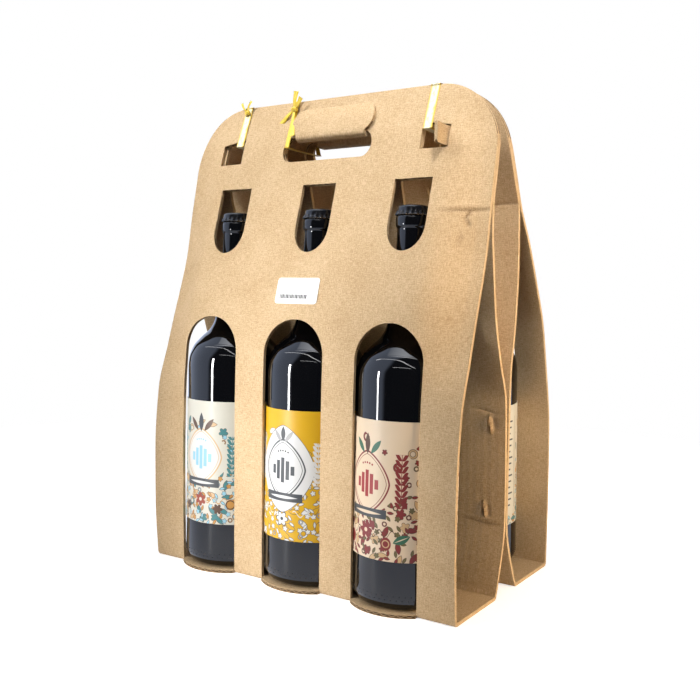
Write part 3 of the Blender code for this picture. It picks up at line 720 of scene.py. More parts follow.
def bottlePlace(row, cx):
    if row == "front":
        return Matrix.Translation((cx, -bottleSettings["axis"], bottleSettings["floor"]))
    lean = math.radians(bottleSettings["lean"])
    spot = Matrix.Translation((cx, -bottleSettings["axis"], bottleSettings["floor"] + 0.033 * math.sin(lean)))
    return halfTurn @ spot @ Matrix.Rotation(-lean, 4, "X")


def lathe(name, profile, sides):
    # a profile of (radius, height) in metres, from the top down, with both ends on the axis
    rings = [point for point in profile if point[0] > 1e-6]
    turn = 2 * math.pi / sides
    points = [(r * math.cos(k * turn), r * math.sin(k * turn), z) for r, z in rings for k in range(sides)]
    faces = []
    for ring in range(len(rings) - 1):
        for k in range(sides):
            a, b = ring * sides + k, ring * sides + (k + 1) % sides
            faces.append((a, a + sides, b + sides, b))
    points += [(0, 0, profile[0][1]), (0, 0, profile[-1][1])]
    top, bottom, last = len(points) - 2, len(points) - 1, (len(rings) - 1) * sides
    faces += [(top, k, (k + 1) % sides) for k in range(sides)]
    faces += [(bottom, last + (k + 1) % sides, last + k) for k in range(sides)]
    mesh = bpy.data.meshes.new(name)
    mesh.from_pydata(points, [], faces)
    return mesh


def bottleProfile():
    bead = [(0.0, 0.2946), (0.006, 0.2946), (0.0118, 0.2946), (0.0124, 0.29445), (0.0128, 0.2941),
            (0.0131, 0.2934), (0.0134, 0.2922), (0.01345, 0.2905), (0.01345, 0.2885), (0.0134, 0.2872),
            (0.0132, 0.2863), (0.0128, 0.2856), (0.0123, 0.2850), (0.01205, 0.2842)]
    # the neck in long steps, the shoulder in short ones, and the body below it
    neck, shoulder = np.arange(0.2825, 0.212, -0.003), np.arange(0.2105, 0.166, -0.0011)
    heights = np.concatenate([neck, shoulder, [0.164, 0.158, 0.145]])
    stations = tuple((z, r, r) for z, r in bottleStations)
    body = [(float(r), float(z)) for r, z in zip(stationPlace(stations, heights, 1), heights)]
    body += [(0.041, z) for z in (0.12, 0.09, 0.06, 0.035, 0.018)]
    heel = arc(0.033, 0.011, 0.008, 0.011, 0, -90, 13)
    punt = [(0.030, 0.0004), (0.024, 0.0018), (0.014, 0.0032), (0.005, 0.0038), (0.0, 0.0038)]
    return bead + body + heel + punt


def standInRows(kind, mesh, slot, *materials):
    # a copy on each bottle's axis
    for row in ("front", "rear"):
        for i, cx in enumerate(bottleCentres):
            copy = mesh.copy()
            copy.transform(bottlePlace(row, cx))
            finishPiece(newPiece(f"{kind}{row.title()}{i + 1}", copy, *materials), slot, f"{kind}_{row}_{i + 1}")
    bpy.data.meshes.remove(mesh)


def makeGlass():
    material, tree, shader = newMaterial("darkGlass", IOR=1.52)
    point = objectPoint(tree)
    smudge = noise(point, 38.0, 4.0, 0.62)
    wave = noise(vectorCalc("MULTIPLY", point, (1, 1, 0.35)), 30.0, 1.0)
    feed(shader, Base_Color=mixColour(smudge, (0.0004, 0.0004, 0.0006, 1), (0.0018, 0.0017, 0.002, 1)),
         Roughness=stretch(smudge, 0.45, 0.75, 0.02, 0.09))
    addBump(shader, noise(point, 160.0, 1.0) * 0.06 + wave, 0.25, 0.0008)
    return material


glass = makeGlass()
bottleMesh = lathe("bottle", bottleProfile(), bottleSettings["sides"])
smoothMesh(bottleMesh, 40)
standInRows("bottle", bottleMesh, "dark_glass", glass)


# rows of small bumps round each heel
bumpSettings = {"Count": 58, "Radius": 0.0406, "Low": 0.0085, "Rise": 0.003, "Girth": 0.0006}


def makeBumpTree():
    tree, given, result = newGrowth("heelBumps", Count=58, Radius=0.04, Low=0.006, Rise=0.0026, Girth=0.0006)
    ring = take(tree, "GeometryNodeMeshCircle", None, {"Vertices": given["Count"], "Radius": given["Radius"]})
    rings = put(tree, "GeometryNodeJoinGeometry")
    for k in range(2):
        # the upper ring is half a step round and a little wider
        height, turn = given["Rise"] * float(k) + given["Low"], math.pi / given["Count"] * float(k)
        place, spin = (take(tree, "ShaderNodeCombineXYZ", None, {"Z": amount}) for amount in (height, turn))
        wider = (1 + 0.005 * k, 1 + 0.005 * k, 1)
        inputs = {"Geometry": ring, "Translation": place, "Rotation": spin, "Scale": wider}
        feed(rings, Geometry=take(tree, "GeometryNodeTransform", None, inputs))
    bump = take(tree, "GeometryNodeMeshIcoSphere", None, {"Radius": given["Girth"], "Subdivisions": 1})
    inputs = {"Points": nodeValue(rings.outputs[0]), "Instance": bump}
    bumps = take(tree, "GeometryNodeInstanceOnPoints", None, inputs)
    inputs = {"Points": given["Geometry"], "Instance": bumps, "Rotation": attributeOf(tree, "lean", "FLOAT_VECTOR")}
    return finishGrowth(take(tree, "GeometryNodeInstanceOnPoints", None, inputs), given, result)


feet = bpy.data.meshes.new("feet")
places = [bottlePlace(row, cx) for row in ("front", "rear") for cx in bottleCentres]
feet.from_pydata([tuple(place.translation) for place in places], [], [])
leans = [angle for place in places for angle in place.to_euler()]
feet.attributes.new("lean", "FLOAT_VECTOR", "POINT").data.foreach_set("vector", leans)
bumps = growMesh(feet, makeBumpTree(), Material=glass, **bumpSettings)
smoothMesh(bumps, 80)
finishPiece(newPiece("heelBumps", bumps), "dark_glass")
print("bottles made")


# crown caps with a crimped skirt
capSettings = {"Flutes": 21, "Depth": 0.00055, "Foot": 0.2949, "Reach": 0.0042}


def capProfile():
    top = [(0.0, 0.3023), (0.004, 0.3023), (0.0085, 0.3022), (0.0104, 0.3020)]
    shoulder = arc(0.0104, 0.2999, 0.0021, 0.0021, 78, 6, 7)
    skirt = [(0.01262, 0.2990), (0.01275, 0.2982), (0.0129, 0.2974), (0.01308, 0.2967), (0.01328, 0.2960),
             (0.0135, 0.2954), (0.01368, 0.29505), (0.01376, 0.29492)]
    inside = [(0.01362, 0.2949), (0.01335, 0.2952), (0.0130, 0.2956), (0.012, 0.2958), (0.0, 0.2958)]
    return top + shoulder + skirt + inside


def makeCapTree():
    tree, given, result = newGrowth("capFlutes", Flutes=21, Depth=0.0008, Foot=0.2949, Reach=0.004)
    spot = take(tree, "GeometryNodeInputPosition")
    x, y, z = vectorParts(spot)
    wave = calc("COSINE", calc("ARCTAN2", y, x) * given["Flutes"])
    crest = calc("SIGN", wave) * calc("POWER", abs(wave), 0.6)
    share = clamp((given["Foot"] + given["Reach"] - z) / given["Reach"])
    outwards = vectorCalc("NORMALIZE", vectorCalc("MULTIPLY", spot, (1, 1, 0)))
    inputs = {"Geometry": given["Geometry"], "Offset": vectorScale(outwards, crest * given["Depth"] * share)}
    return finishGrowth(take(tree, "GeometryNodeSetPosition", None, inputs), given, result)


def makeEnamel():
    material, tree, shader = newMaterial("capEnamel", Coat_Weight=0.25, Coat_Roughness=0.08, Specular_IOR_Level=0.4)
    point = objectPoint(tree)
    scuff = noise(point, 420.0, 3.0, 0.6)
    wearAndCreaseShade = stretch(noise(point, 900.0, 2.0), 0.66, 0.78, 0.0, 0.5)
    feed(shader, Base_Color=mixColour(wearAndCreaseShade, (0.004, 0.004, 0.005, 1), (0.06, 0.06, 0.065, 1)),
         Roughness=stretch(scuff, 0.3, 0.7, 0.10, 0.22))
    addBump(shader, scuff, 0.15, 0.0002)
    return material


enamel = makeEnamel()
capMesh = growMesh(lathe("cap", capProfile(), 168), makeCapTree(), Material=enamel, **capSettings)
smoothMesh(capMesh, 55)
standInRows("cap", capMesh, "cap_black")
print("caps made")


# print: how far a point of the paper lies inside each mark, in mm, from the mark's middle and half sizes
def insideDisc(x, y, width, height):
    return (1.0 - distance(x / width, y / height)) * calc("MINIMUM", width, height)


def insideBox(x, y, width, height):
    return calc("MINIMUM", width - abs(x), height - abs(y))


def insideLozenge(x, y, width, height):
    # between a diamond and an oval
    powers = calc("POWER", abs(x) / width, 1.5) + calc("POWER", abs(y) / height, 1.5)
    return (1.0 - calc("POWER", powers, 0.667)) * width


def insideLeaf(x, y, width, height):
    along = x / width
    return (1.0 - along * along) * height - abs(y)


def insideSprig(x, y, width, height):
    # a stem along the long side with a pair of leaves every few mm
    aside, pitch = abs(y), height * 0.9
    cell = calc("FRACT", (x - aside * 0.9) / pitch)
    share = aside / height
    leaf = (share * (1.0 - share) * 1.9 - abs(cell - 0.5)) * pitch
    return calc("MINIMUM", calc("MAXIMUM", leaf, 0.28 - aside), width - abs(x))


def insideRosette(x, y, width, height):
    # only the width counts
    petals = abs(calc("COSINE", calc("ARCTAN2", y, x) * 3.0)) * 0.42 + 0.58
    return petals * width - distance(x, y)


def insideRing(x, y, width, height):
    # the height is half the ring's thickness
    return height - abs(distance(x, y) - width)


def insideScroll(x, y, width, height):
    # a wavy line
    wave = calc("SINE", x * 0.62) * height
    return calc("MINIMUM", 0.42 - abs(y - wave), width - abs(x))


def makeMark(name, inside):
    tree, given, result = newTree(
        name + "Mark", "ShaderNodeTree", {"Point": "Vector", "Centre": "Vector", "Size": "Vector", "Turn": 0.0},
        {"Mask": "Float"})
    turned = vectorTurn(vectorCalc("SUBTRACT", given["Point"], given["Centre"]), given["Turn"])
    reach = inside(*vectorParts(turned)[:2], *vectorParts(given["Size"])[:2])
    feed(result, Mask=stretch(reach, -0.12, 0.12, 0.0, 1.0))
    return tree


def makeScatterGroup():
    # leaves, rosettes and rings strewn over the paper, one to a cell and fewer towards the top
    tree, given, result = newTree(
        "scatterPrint", "ShaderNodeTree", {"Point": "Vector", "Cell": 7.0, "Seed": 0.0, "Top": 90.0},
        {"Inside": "Float", "Shade": "Float"})
    cell = given["Cell"]
    moved = vectorCalc("ADD", given["Point"], take(tree, "ShaderNodeCombineXYZ", None, {"X": given["Seed"]}))
    cells = put(tree, "ShaderNodeTexVoronoi", {"voronoi_dimensions": "2D"},
                {"Vector": moved, "Scale": 1.0 / cell, "Randomness": 0.7}).outputs
    turn, kind, rank = vectorParts(nodeValue(cells["Color"]))
    middle = nodeValue(cells["Position"])
    x, y = vectorParts(vectorTurn(vectorCalc("SUBTRACT", moved, middle), turn * (2 * math.pi)))[:2]
    petals = (abs(calc("COSINE", calc("ARCTAN2", y, x) * 2.5)) * 0.16 + 0.24) * cell - distance(x, y)
    inside = choose(calc("GREATER_THAN", kind, 0.55), insideLeaf(x, y, cell * 0.48, cell * 0.21), petals)
    inside = choose(calc("GREATER_THAN", kind, 0.82), inside, insideRing(x, y, cell * 0.26, cell * 0.09))
    limit = stretch(vectorParts(middle)[1], given["Top"] - 55.0, given["Top"], 0.05, 1.0)
    feed(result, Inside=inside - calc("GREATER_THAN", limit, rank) * 50.0, Shade=calc("FRACT", rank * 7.0))
    return tree


scatterGroup = makeScatterGroup()
insides = {"disc": insideDisc, "box": insideBox, "lozenge": insideLozenge, "leaf": insideLeaf, "sprig": insideSprig,
           "rosette": insideRosette, "ring": insideRing, "scroll": insideScroll}
marks = {name: makeMark(name, inside) for name, inside in insides.items()}
inks = {
    "cream": (0.58, 0.565, 0.49), "paper": (0.63, 0.625, 0.60), "sky": (0.26, 0.50, 0.62),
    "slate": (0.05, 0.055, 0.06), "gold": (0.50, 0.25, 0.06), "teal": (0.05, 0.19, 0.20),
    "russet": (0.28, 0.06, 0.035), "yellow": (0.60, 0.345, 0.008), "white": (0.64, 0.64, 0.635),
    "grey": (0.32, 0.32, 0.32), "blush": (0.72, 0.585, 0.43), "wine": (0.20, 0.022, 0.022), "red": (0.32, 0.03, 0.03),
    "green": (0.03, 0.12, 0.07), "tan": (0.56, 0.38, 0.20), "umber": (0.09, 0.045, 0.025), "olive": (0.13, 0.11, 0.04),
}


def medallion(border, face, bars, band):
    # a bordered lozenge with short upright bars and a row of dots, over a plain band
    shapes = [("lozenge", 0, 57, 20.5, 24, 0, border), ("lozenge", 0, 57, 19.2, 22.6, 0, face),
              ("lozenge", 0, 57, 17.8, 21.2, 0, border), ("lozenge", 0, 57, 17.3, 20.7, 0, face)]
    halves = {-9.2: 3.6, -4.6: 7.5, 0: 10, 4.6: 7.5, 9.2: 3.6}
    shapes += [("box", x, 56, 1.7, half, 0, bars) for x, half in halves.items()]
    shapes += [("box", 0, 34.5, 18, 3.4, 0, band), ("leaf", 0, 34.5, 14, 1.2, 0, face)]
    return shapes + [("disc", x, 71.5 - 0.04 * x * x, 0.8, 0.8, 0, bars) for x in (-5, -2.5, 0, 2.5, 5)]


def bothSides(kind, x, y, width, height, turn, ink):
    return [(kind, x, y, width, height, turn, ink), (kind, -x, y, width, height, 180 - turn, ink)]


# each print: ground, side rules, strewn layers (cell, seed, top, line and two fills) and marks on top;
# a mark has its middle, half its width and height in mm, its turn in degrees and its ink
labelPrints = {
    "label_paper_1": {
        "ground": "cream", "rules": "slate",
        "strewn": ((10.5, 3.0, 104, "umber", "tan", "teal"), (6.0, 41.0, 88, "umber", "gold", "sky")),
        "marks": [
            ("leaf", 0, 57, 31, 24, 0, "cream"), *medallion("tan", "paper", "sky", "slate"),
            *bothSides("sprig", 29, 58, 17, 4.6, 90, "teal"), ("leaf", 0, 86, 8, 2.6, 90, "slate"),
            *bothSides("leaf", 8, 84, 7, 2.2, 50, "umber"), ("scroll", 0, 20, 26, 2.4, 0, "gold"),
            ("rosette", 0, 20, 6.0, 1, 30, "russet"), ("disc", 0, 20, 1.5, 1.5, 0, "cream"),
            *bothSides("rosette", 17, 13, 4.6, 1, 0, "umber"), ("disc", 28, 17, 4.0, 4.6, 0, "gold"),
            ("ring", 28, 17, 3.6, 0.5, 0, "umber")]},
    "label_paper_2": {
        "ground": "yellow", "rules": "slate",
        "strewn": ((10.5, 17.0, 106, "slate", "white", "yellow"), (6.0, 77.0, 84, "slate", "white", "white")),
        "marks": [
            ("lozenge", 0, 57, 28, 35, 0, "slate"), ("lozenge", 0, 57, 27.5, 34.5, 0, "white"),
            *medallion("slate", "white", "slate", "slate"), *bothSides("sprig", 30, 62, 17, 4.6, 90, "white"),
            ("sprig", 36, 58, 15, 3.2, 90, "slate"), ("leaf", 0, 85, 6, 2.2, 90, "slate"),
            *bothSides("leaf", 5.5, 83, 6, 1.8, 50, "grey"), ("rosette", 0, 17, 6.4, 1, 0, "slate"),
            ("rosette", 0, 17, 5.4, 1, 0, "white"), ("disc", 0, 17, 1.4, 1.4, 0, "slate"),
            *bothSides("scroll", 19, 22, 9, 2.2, 0, "white")]},
    "label_paper_3": {
        "ground": "blush", "rules": "slate",
        "strewn": ((10.5, 58.0, 104, "umber", "wine", "tan"), (6.0, 23.0, 92, "umber", "olive", "wine")),
        "marks": [
            ("leaf", 0, 57, 31, 24, 0, "blush"), *medallion("wine", "blush", "red", "slate"),
            *bothSides("sprig", 29, 60, 20, 5.0, 90, "wine"), ("leaf", 0, 86, 8, 2.6, 90, "umber"),
            *bothSides("leaf", 8, 84, 7, 2.2, 50, "green"), ("scroll", 0, 20, 26, 3.0, 0, "umber"),
            ("rosette", 0, 21, 6.4, 1, 0, "wine"), ("disc", 0, 21, 1.6, 1.6, 0, "blush"),
            *bothSides("disc", 18, 13, 4.2, 5.0, 0, "wine"), ("ring", 18, 13, 2.6, 0.4, 0, "tan"),
            *bothSides("leaf", 30, 17, 7, 3.2, 24, "green"), ("leaf", 30, 17, 6, 0.35, 24, "blush")]},
}


def sidePanels(ground, rules):
    # plain side panels with a column of short rules and an upright one beside it
    panels = bothSides("box", 71, 53, 12, 45, 0, ground) + bothSides("box", 62, 54, 0.25, 40, 0, rules)
    for k in range(15):
        panels += bothSides("box", 72, 90 - 5.2 * k, 6.5 - 1.7 * (k % 3), 0.7, 0, rules)
    return panels


labelSettings = {"radius": 0.04118, "thickness": 0.0002, "bottom": 0.0375, "width": 0.172, "height": 0.104,
                 "span": 239.0, "columns": 112, "rows": 6,
                 "turns": {"label_paper_1": -2.0, "label_paper_2": -2.5, "label_paper_3": -16.0}}


def addMark(point, colour, kind, x, y, width, height, turn, shade):
    mark = useGroup(treeOf(point), marks[kind], Point=point, Centre=(x, y, 0), Size=(width, height, 1),
                    Turn=-math.radians(turn))
    return mixColour(mark["Mask"], colour, (*shade, 1))


def addScatter(point, colour, cell, seed, top, line, *fills):
    strewn = useGroup(treeOf(point), scatterGroup, Point=point, Cell=cell, Seed=seed, Top=top)
    fill = mixColour(calc("GREATER_THAN", strewn["Shade"], 0.5), *((*inks[shade], 1) for shade in fills))
    colour = mixColour(stretch(strewn["Inside"], -0.12, 0.12, 0.0, 1.0), colour, (*inks[line], 1))
    return mixColour(stretch(strewn["Inside"], 0.3, 0.5, 0.0, 1.0), colour, fill)


def makeLabelMaterial(name, design):
    material, tree, shader = newMaterial(name, Specular_IOR_Level=0.45)
    point = vectorScale(surfacePoint(tree), 1000.0)
    grain = noise(point, 2.2, 3.0, 0.6)
    colour = mixColour(grain, *((*(share * c for c in inks[design["ground"]]), 1) for share in (0.93, 1.05)))
    for layer in design["strewn"]:
        colour = addScatter(point, colour, *layer)
    for *mark, ink in design["marks"] + sidePanels(design["ground"], design["rules"]):
        colour = addMark(point, colour, *mark, inks[ink])
    feed(shader, Base_Color=colour, Roughness=stretch(grain, 0.3, 0.7, 0.34, 0.46))
    addBump(shader, grain, 0.2, 0.0001)
    return material


def makeLabelMesh(settings, turn):
    width, height, thickness = settings["width"], settings["height"], settings["thickness"]

    def spot(x, s, depth):
        # a flat point's place on the round bottle
        a = math.radians(turn - 90) + x / width * math.radians(settings["span"])
        radius = settings["radius"] + thickness - depth
        return np.stack([radius * np.cos(a), radius * np.sin(a), settings["bottom"] + s], axis=1)

    outline = [(-width / 2, 0), (width / 2, 0), (width / 2, height), (-width / 2, height)]
    columns = list(np.linspace(-width / 2, width / 2, settings["columns"] + 1)[1:-1])
    rows = list(np.linspace(0, height, settings["rows"] + 1)[1:-1])
    return boardMesh("label", [outline], rows, columns, spot, thickness, 0)[0]


for i, (name, design) in enumerate(labelPrints.items()):
    paper = makeLabelMaterial("paper" + name[-1], design)
    for row in ("front", "rear"):
        mesh = makeLabelMesh(labelSettings, labelSettings["turns"][name])
        mesh.transform(bottlePlace(row, bottleCentres[i]))
        finishPiece(newPiece(f"label{row.title()}{i + 1}", mesh, paper), name, f"label_{row}_{i + 1}")
print("labels made")


# satin ribbons
def makeSatin(name, middle):
    # painted sheen: the middle of a wide ribbon is painted paler, where it would catch the light
    material, tree, shader = newMaterial(name, Sheen_Weight=0.3, Sheen_Roughness=0.4)
    surface = surfacePoint(tree)
    across, along = vectorParts(surface)[:2]
    fold = noise(vectorCalc("MULTIPLY", surface, (3.0, 220.0, 1)), 1.0, 2.0)
    threads = calc("SINE", along * (2 * math.pi / 0.00035))
    pale = stretch(abs(across - 0.5), 0.25, 0.46, 1.0, 0.0) * stretch(fold, 0.3, 0.55, 0.45, 1.0)
    feed(shader, Base_Color=mixColour(pale, (0.74, 0.50, 0.02, 1), middle),
         Roughness=stretch(fold, 0.3, 0.7, 0.26, 0.42))
    addBump(shader, threads * 0.3 + fold, 0.3, 0.0002)
    return material


# each satin's second colour is the painted sheen in its middle
satins = (makeSatin("satinWide", (0.93, 0.90, 0.66, 1)), makeSatin("satinNarrow", (0.86, 0.66, 0.09, 1)))
# a band's cross-section, in shares of its width and half its thickness
bandProfile = ((-0.5, 0), (-0.42, 1), (-0.2, 1), (0, 1), (0.2, 1), (0.42, 1),
               (0.5, 0), (0.42, -1), (0.2, -1), (0, -1), (-0.2, -1), (-0.42, -1))


def smoothCourse(points, steps):
    # a rounded course through the points, in as many steps between each pair
    points = [Vector(p) for p in points]
    course = []
    for k in range(len(points) - 1):
        a, b, c, d = points[max(k - 1, 0)], points[k], points[k + 1], points[min(k + 2, len(points) - 1)]
        for t in np.arange(steps) / steps:
            bend, twist = 2 * a - 5 * b + 4 * c - d, 3 * b - a - 3 * c + d
            course.append(0.5 * (2 * b + (c - a) * t + bend * t ** 2 + twist * t ** 3))
    return course + [points[-1]]


def addBand(sheet, points, sides, widths, thick, crown=0.0, closed=False, kind=1):
    # sides and widths are those at the two ends of the course
    surface = sheet.loops.layers.uv.verify()
    count = len(points)
    rings, runs = [], [0.0]
    for k, point in enumerate(points):
        share = k / (count - 1)
        after = points[(k + 1) % count] if closed else points[min(k + 1, count - 1)]
        before = points[(k - 1) % count] if closed else points[max(k - 1, 0)]
        along = (after - before).normalized()
        side = Vector(sides[0]).lerp(Vector(sides[1]), share)
        side = (side - along * side.dot(along)).normalized()
        up = along.cross(side)
        width = widths[0] + (widths[1] - widths[0]) * share
        runs.append(runs[-1] + (points[(k + 1) % count] - point).length)
        ring = []
        for u, v in bandProfile:
            lift = crown * (1 - (2 * u) ** 2) + v * thick / 2
            ring.append(sheet.verts.new(point + side * (u * width) + up * lift))
        rings.append(ring)
    size = len(bandProfile)
    for k in range(count if closed else count - 1):
        a, b = rings[k], rings[(k + 1) % count]
        for j in range(size):
            m = (j + 1) % size
            face = sheet.faces.new((a[j], a[m], b[m], b[j]))
            face.material_index = kind
            spots = ((j, k), (m, k), (m, k + 1), (j, k + 1))
            for loop, (u, v) in zip(face.loops, spots):
                loop[surface].uv = (bandProfile[u][0] + 0.5, runs[v])
    if not closed:
        sheet.faces.new(rings[0][::-1])
        sheet.faces.new(rings[-1])


def onPanel(row, x, z, off):
    y = panelAt(row, "outer", x if row == "front" else -x, min(z, boardSettings["top"]))
    return Vector((x, y - off, z)) if row == "front" else Vector((x, off - y, z))


def addKnot(sheet, centre, radius, tilt, width):
    # a small turn of ribbon drawn tight round the others
    points = []
    for a in np.radians(np.arange(0, 360, 15)):
        depth, rise = 0.75 * math.sin(a) * math.cos(tilt), math.sin(a) * math.sin(tilt) + 0.12 * math.sin(3 * a)
        points.append(centre + Vector((1.15 * math.cos(a), depth, rise)) * radius)
    side = (0, -math.sin(tilt), math.cos(tilt))
    addBand(sheet, points, (side, side), (width, width), 0.0005, 0.0003, True)


def addTail(sheet, start, bends, widths, sides):
    bends = [start + Vector(bend) * 0.001 for bend in bends]
    addBand(sheet, smoothCourse([start] + bends, 8), sides, widths, 0.00035, 0.0002)


def ribbonLoop(x, low):
    # up the front panel, over both tops, down the rear panel and back through the windows
    heights = (low, 0.372, 0.380, 0.388, 0.395, 0.3995)
    up = [onPanel("front", x, z, 0.0007) for z in heights]
    down = [onPanel("rear", x, z, 0.0007) for z in reversed(heights)]
    over = [up[-1] + Vector((0, 0.0012, 0.0019)), down[0] + Vector((0, -0.0012, 0.0019))]
    under = [down[-1] + Vector((0, -0.002, -0.0015)), up[0] + Vector((0, 0.002, -0.0015))]
    corners = up + over + down + under
    return smoothCourse(corners[-1:] + corners + corners[:2], 4)[4:-5]


# tails: bends from the knot in mm, widths, and the way across at both ends
ribbonSettings = {
    "left": {"x": -0.093, "width": 0.008, "low": 0.366, "knot": (0.396, 0.0025, 0.0019), "tails": (
        (((-3, -1.2, 4), (-6, -0.4, 9)), (0.0012, 0.0026), ((1, 0, 0.6), (1, 0, 0.5))),
        (((2, -1.4, 5), (5, -0.8, 10)), (0.0012, 0.0026), ((1, 0, -0.4), (1, 0, -0.3))))},
    "right": {"x": 0.093, "width": 0.008, "low": 0.366},
    "centre": {"x": -0.0402, "width": 0.0046, "low": 0.3614, "knot": (0.394, 0.0027, 0.0024), "tails": (
        (((0.6, -1, 6), (2, -0.6, 15)), (0.0016, 0.0050), ((1, 0, 0), (1, 0.1, -0.1))),
        (((-6, -1.6, -5.5), (-13.5, -1, -12)), (0.0016, 0.0048), ((1, 0, -1), (0.8, 0, -1))),
        (((4.5, -2.2, 3), (9, -3.2, 8.5)), (0.0016, 0.0042), ((1, 0, -1), (0.7, 0.3, -1))),
        (((1.2, -3.2, -8), (3.4, -7.2, -17), (5.6, -10.6, -25)), (0.0018, 0.0062), ((1, 0, 0), (1, 0, 0.1))))},
}


def makeRibbon(name, settings):
    sheet = bmesh.new()
    sheet.loops.layers.uv.new("surface")
    x, width, side = settings["x"], settings["width"], (1, 0, 0)
    addBand(sheet, ribbonLoop(x, settings["low"]), (side, side), (width, width), 0.00045, 0.0, True, int(width < 0.006))
    if "knot" in settings:
        z, off, radius = settings["knot"]
        knot = onPanel("front", x, z, off)
        addKnot(sheet, knot, radius, 0.5, 1.4 * radius)
        addKnot(sheet, knot + Vector((0, 0.0004, 0)), 0.9 * radius, 1.2, 1.3 * radius)
        addKnot(sheet, knot, 0.8 * radius, -0.4, 1.2 * radius)
        for tail in settings["tails"]:
            addTail(sheet, knot, *tail)
    bmesh.ops.recalc_face_normals(sheet, faces=sheet.faces)
    mesh = bpy.data.meshes.new("band")
    sheet.to_mesh(mesh)
    sheet.free()
    smoothMesh(mesh, 45)
    finishPiece(newPiece("ribbon" + name.title(), mesh, *satins), "ribbon_satin", "ribbon_" + name)


for name, settings in ribbonSettings.items():
    makeRibbon(name, settings)
print("ribbons made")


# price sticker: a plain white field with faint rules and an even block of bars
stickerSettings = {"centre": (-0.0018, 0.239), "size": (0.0414, 0.0208), "corner": 0.0025}


def makeStickerMaterial():
    material, tree, shader = newMaterial("stickerPaper", Specular_IOR_Level=0.4)
    middle = vectorCalc("SUBTRACT", surfacePoint(tree), (*stickerSettings["centre"], 0))
    point = vectorScale(middle, 1000.0)
    grain = noise(point, 3.0, 2.0)
    colour = mixColour(grain, (0.84, 0.84, 0.83, 1), (0.93, 0.93, 0.93, 1))
    rules = [(0, 4.2, 16, 0.28, 0.55), (-3, 2.2, 12.5, 0.25, 0.62), (2, -8.4, 11, 0.25, 0.62)]
    rules += [(-16 + 1.5 * k, -4.6, 0.42 + 0.12 * (k % 3), 1.6, 0.08) for k in range(18)]
    for *rule, shade in rules:
        colour = addMark(point, colour, "box", *rule, 0, (shade,) * 3)
    feed(shader, Base_Color=colour, Roughness=stretch(grain, 0.3, 0.7, 0.4, 0.5))
    addBump(shader, grain, 0.15, 0.0001)
    return material


def makeSticker(settings):
    (cx, cz), (width, height), r = settings["centre"], settings["size"], settings["corner"]
    outline = []
    for sx, sz, start in ((1, 1, 0), (-1, 1, 90), (-1, -1, 180), (1, -1, 270)):
        outline += arc(cx + sx * (width / 2 - r), cz + sz * (height / 2 - r), r, r, start, start + 90, 8)
    onBoard = spotOn(lambda x, s: carrierCourse("front", x, s))

    def spot(x, s, depth):
        # the right end lifts a little off the board
        curl = 0.0004 * np.clip((x - cx) / (width / 2), 0, 1) ** 3
        return onBoard(x, s, depth - 0.00035 - curl)

    rows = list(np.arange(cz - height / 2 + 0.002, cz + height / 2, 0.002))
    columns = list(np.arange(cx - width / 2 + 0.002, cx + width / 2, 0.002))
    mesh = boardMesh("sticker", [outline], rows, columns, spot, 0.0002, 0)[0]
    finishPiece(newPiece("sticker", mesh, makeStickerMaterial()), "sticker_paper", "sticker")


makeSticker(stickerSettings)
print("sticker made")


# a pale floor that fades into the white surroundings, and soft studio light
lightSettings = {
    "overhead": {"place": (0.05, -0.28, 1.3), "aim": (0.05, -0.03, 0.42),
                 "size": (1.2, 0.4), "radiance": 0.45, "spread": 66},
    "overheadTube": {"place": (0.1, -0.55, 1.3), "aim": (0.05, -0.03, 0.42),
                     "size": (1.9, 0.04), "radiance": 1.5, "spread": 66},
    "tube": {"place": (-0.2, -1.15, 1.45), "aim": (0, 0, 0.15), "size": (3.2, 0.03), "radiance": 14.5},
    "lowTube": {"place": (0.3, -1.3, 1.05), "aim": (0, 0, 0.15), "size": (1.0, 0.02), "radiance": 10.5},
    "upperRight": {"place": (0.5, -0.6, 1.05), "aim": (0.14, -0.04, 0.41),
                   "size": (0.2, 0.2), "radiance": 1.5, "spread": 20, "shines": False},
    "upperLeft": {"place": (-0.45, -0.75, 1.05), "aim": (-0.11, -0.05, 0.38),
                  "size": (0.3, 0.3), "radiance": 1.7, "spread": 28, "shines": False},
    "strip": {"place": (-0.17, -0.40, 0.14), "aim": (-0.015, -0.09, 0.09),
              "size": (0.026, 0.27), "radiance": 10.0, "spread": 56},
    "inside": {"place": (0.50, -0.085, 0.24), "aim": (0.12, -0.02, 0.15),
               "size": (0.04, 0.35), "radiance": 4.2, "spread": 50, "tint": (1.0, 0.74, 0.45), "shines": False},
    "fill": {"place": (1.0, 0.22, 0.34), "aim": (0.15, 0.05, 0.15),
             "size": (0.4, 0.5), "radiance": 1.1, "spread": 60, "tint": (1.0, 0.78, 0.52), "shines": False},
}
studioGlow = {"paper": (0.20, 0.165, 0.13, 1), "glass": (1.0, 1.15, 1.5, 1), "floor": (0.45, 0.55, 0.78, 1)}


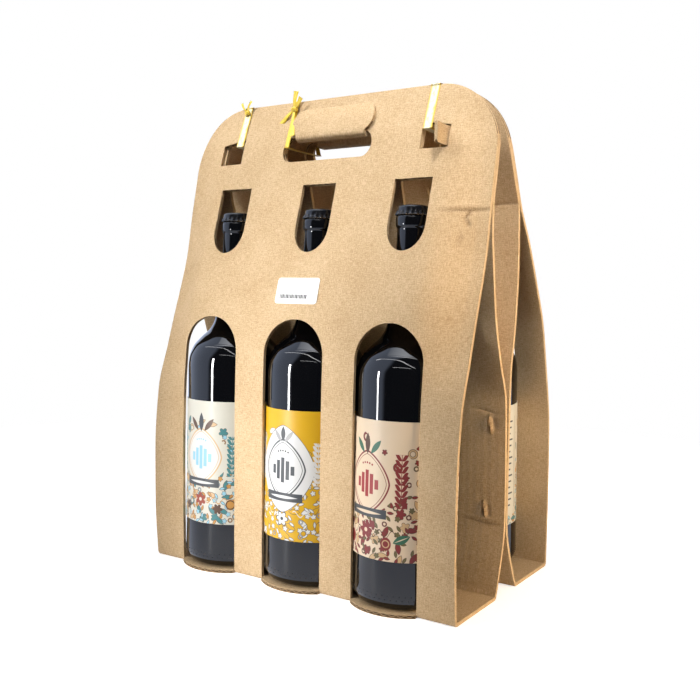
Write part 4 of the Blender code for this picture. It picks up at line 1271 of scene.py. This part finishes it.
def makeFloor():
    sheet = bmesh.new()
    bmesh.ops.create_circle(sheet, cap_ends=True, radius=1.1, segments=96)
    mesh = bpy.data.meshes.new("floor")
    sheet.to_mesh(mesh)
    sheet.free()
    material, tree, shader = newMaterial("floorPaper", Specular_IOR_Level=0.2, Emission_Strength=1.0)
    point = objectPoint(tree)
    grain, far = noise(point, 90.0, 3.0), vectorCalc("LENGTH", point, key="Value")
    glow = mixColour(stretch(far, 0.25, 0.5, 0.0, 1.0), (0.6, 0.6, 0.6, 1), (0.95, 0.95, 0.95, 1))
    glow = mixColour(take(tree, "ShaderNodeLightPath", key="Is Glossy Ray"), glow, studioGlow["floor"])
    glow = mixColour(take(tree, "ShaderNodeLightPath", key="Is Diffuse Ray"), glow, (0, 0, 0, 1))
    feed(shader, Base_Color=mixColour(grain, (0.90, 0.90, 0.90, 1), (0.94, 0.94, 0.94, 1)),
         Roughness=stretch(grain, 0.3, 0.7, 0.55, 0.65), Alpha=stretch(far, 0.5, 0.95, 1.0, 0.0), Emission_Color=glow)
    addBump(shader, grain, 0.1, 0.0002)
    newPiece("floor", mesh, material)


def makeSurroundings():
    world = bpy.data.worlds.new("studio")
    bpy.context.scene.world = world
    world.use_nodes = True
    tree = world.node_tree
    way = take(tree, "ShaderNodeTexCoord", key="Generated")
    # the surroundings are bright on the side that the bottles' dark glass mirrors
    facing = vectorCalc("DOT_PRODUCT", way, (0.688, -0.725, 0), key="Value")
    inputs = {0: facing, 1: 0.24, 2: 0.42, 3: 1.0, 4: 0.06}
    shade = take(tree, "ShaderNodeMapRange", {"interpolation_type": "SMOOTHSTEP"}, inputs)
    tint = mixColour(take(tree, "ShaderNodeLightPath", key="Is Glossy Ray"), studioGlow["paper"], studioGlow["glass"])
    tint = mixColour(shade, (0.0, 0.0, 0.0, 1), tint)
    tint = mixColour(take(tree, "ShaderNodeLightPath", key="Is Camera Ray"), tint, (1, 1, 1, 1))
    feed(tree.nodes["Background"], Color=tint)


def addLight(name, settings):
    data = bpy.data.lights.new(name, "AREA")
    data.shape = "RECTANGLE"
    data.size, data.size_y = settings["size"]
    data.energy = settings["radiance"] * math.pi * data.size * data.size_y
    data.color = settings.get("tint", (1, 1, 1))
    data.spread = math.radians(settings.get("spread", 180))
    light = bpy.data.objects.new(name, data)
    bpy.context.scene.collection.objects.link(light)
    aim = Vector(settings["aim"]) - Vector(settings["place"])
    light.matrix_world = Matrix.Translation(settings["place"]) @ aim.to_track_quat("-Z", "Y").to_matrix().to_4x4()
    light.visible_camera = False
    light.visible_glossy = settings.get("shines", True)


makeFloor()
makeSurroundings()
for name, settings in lightSettings.items():
    addLight(name, settings)
bpy.context.scene.view_settings.view_transform = "Standard"
print("studio lit")
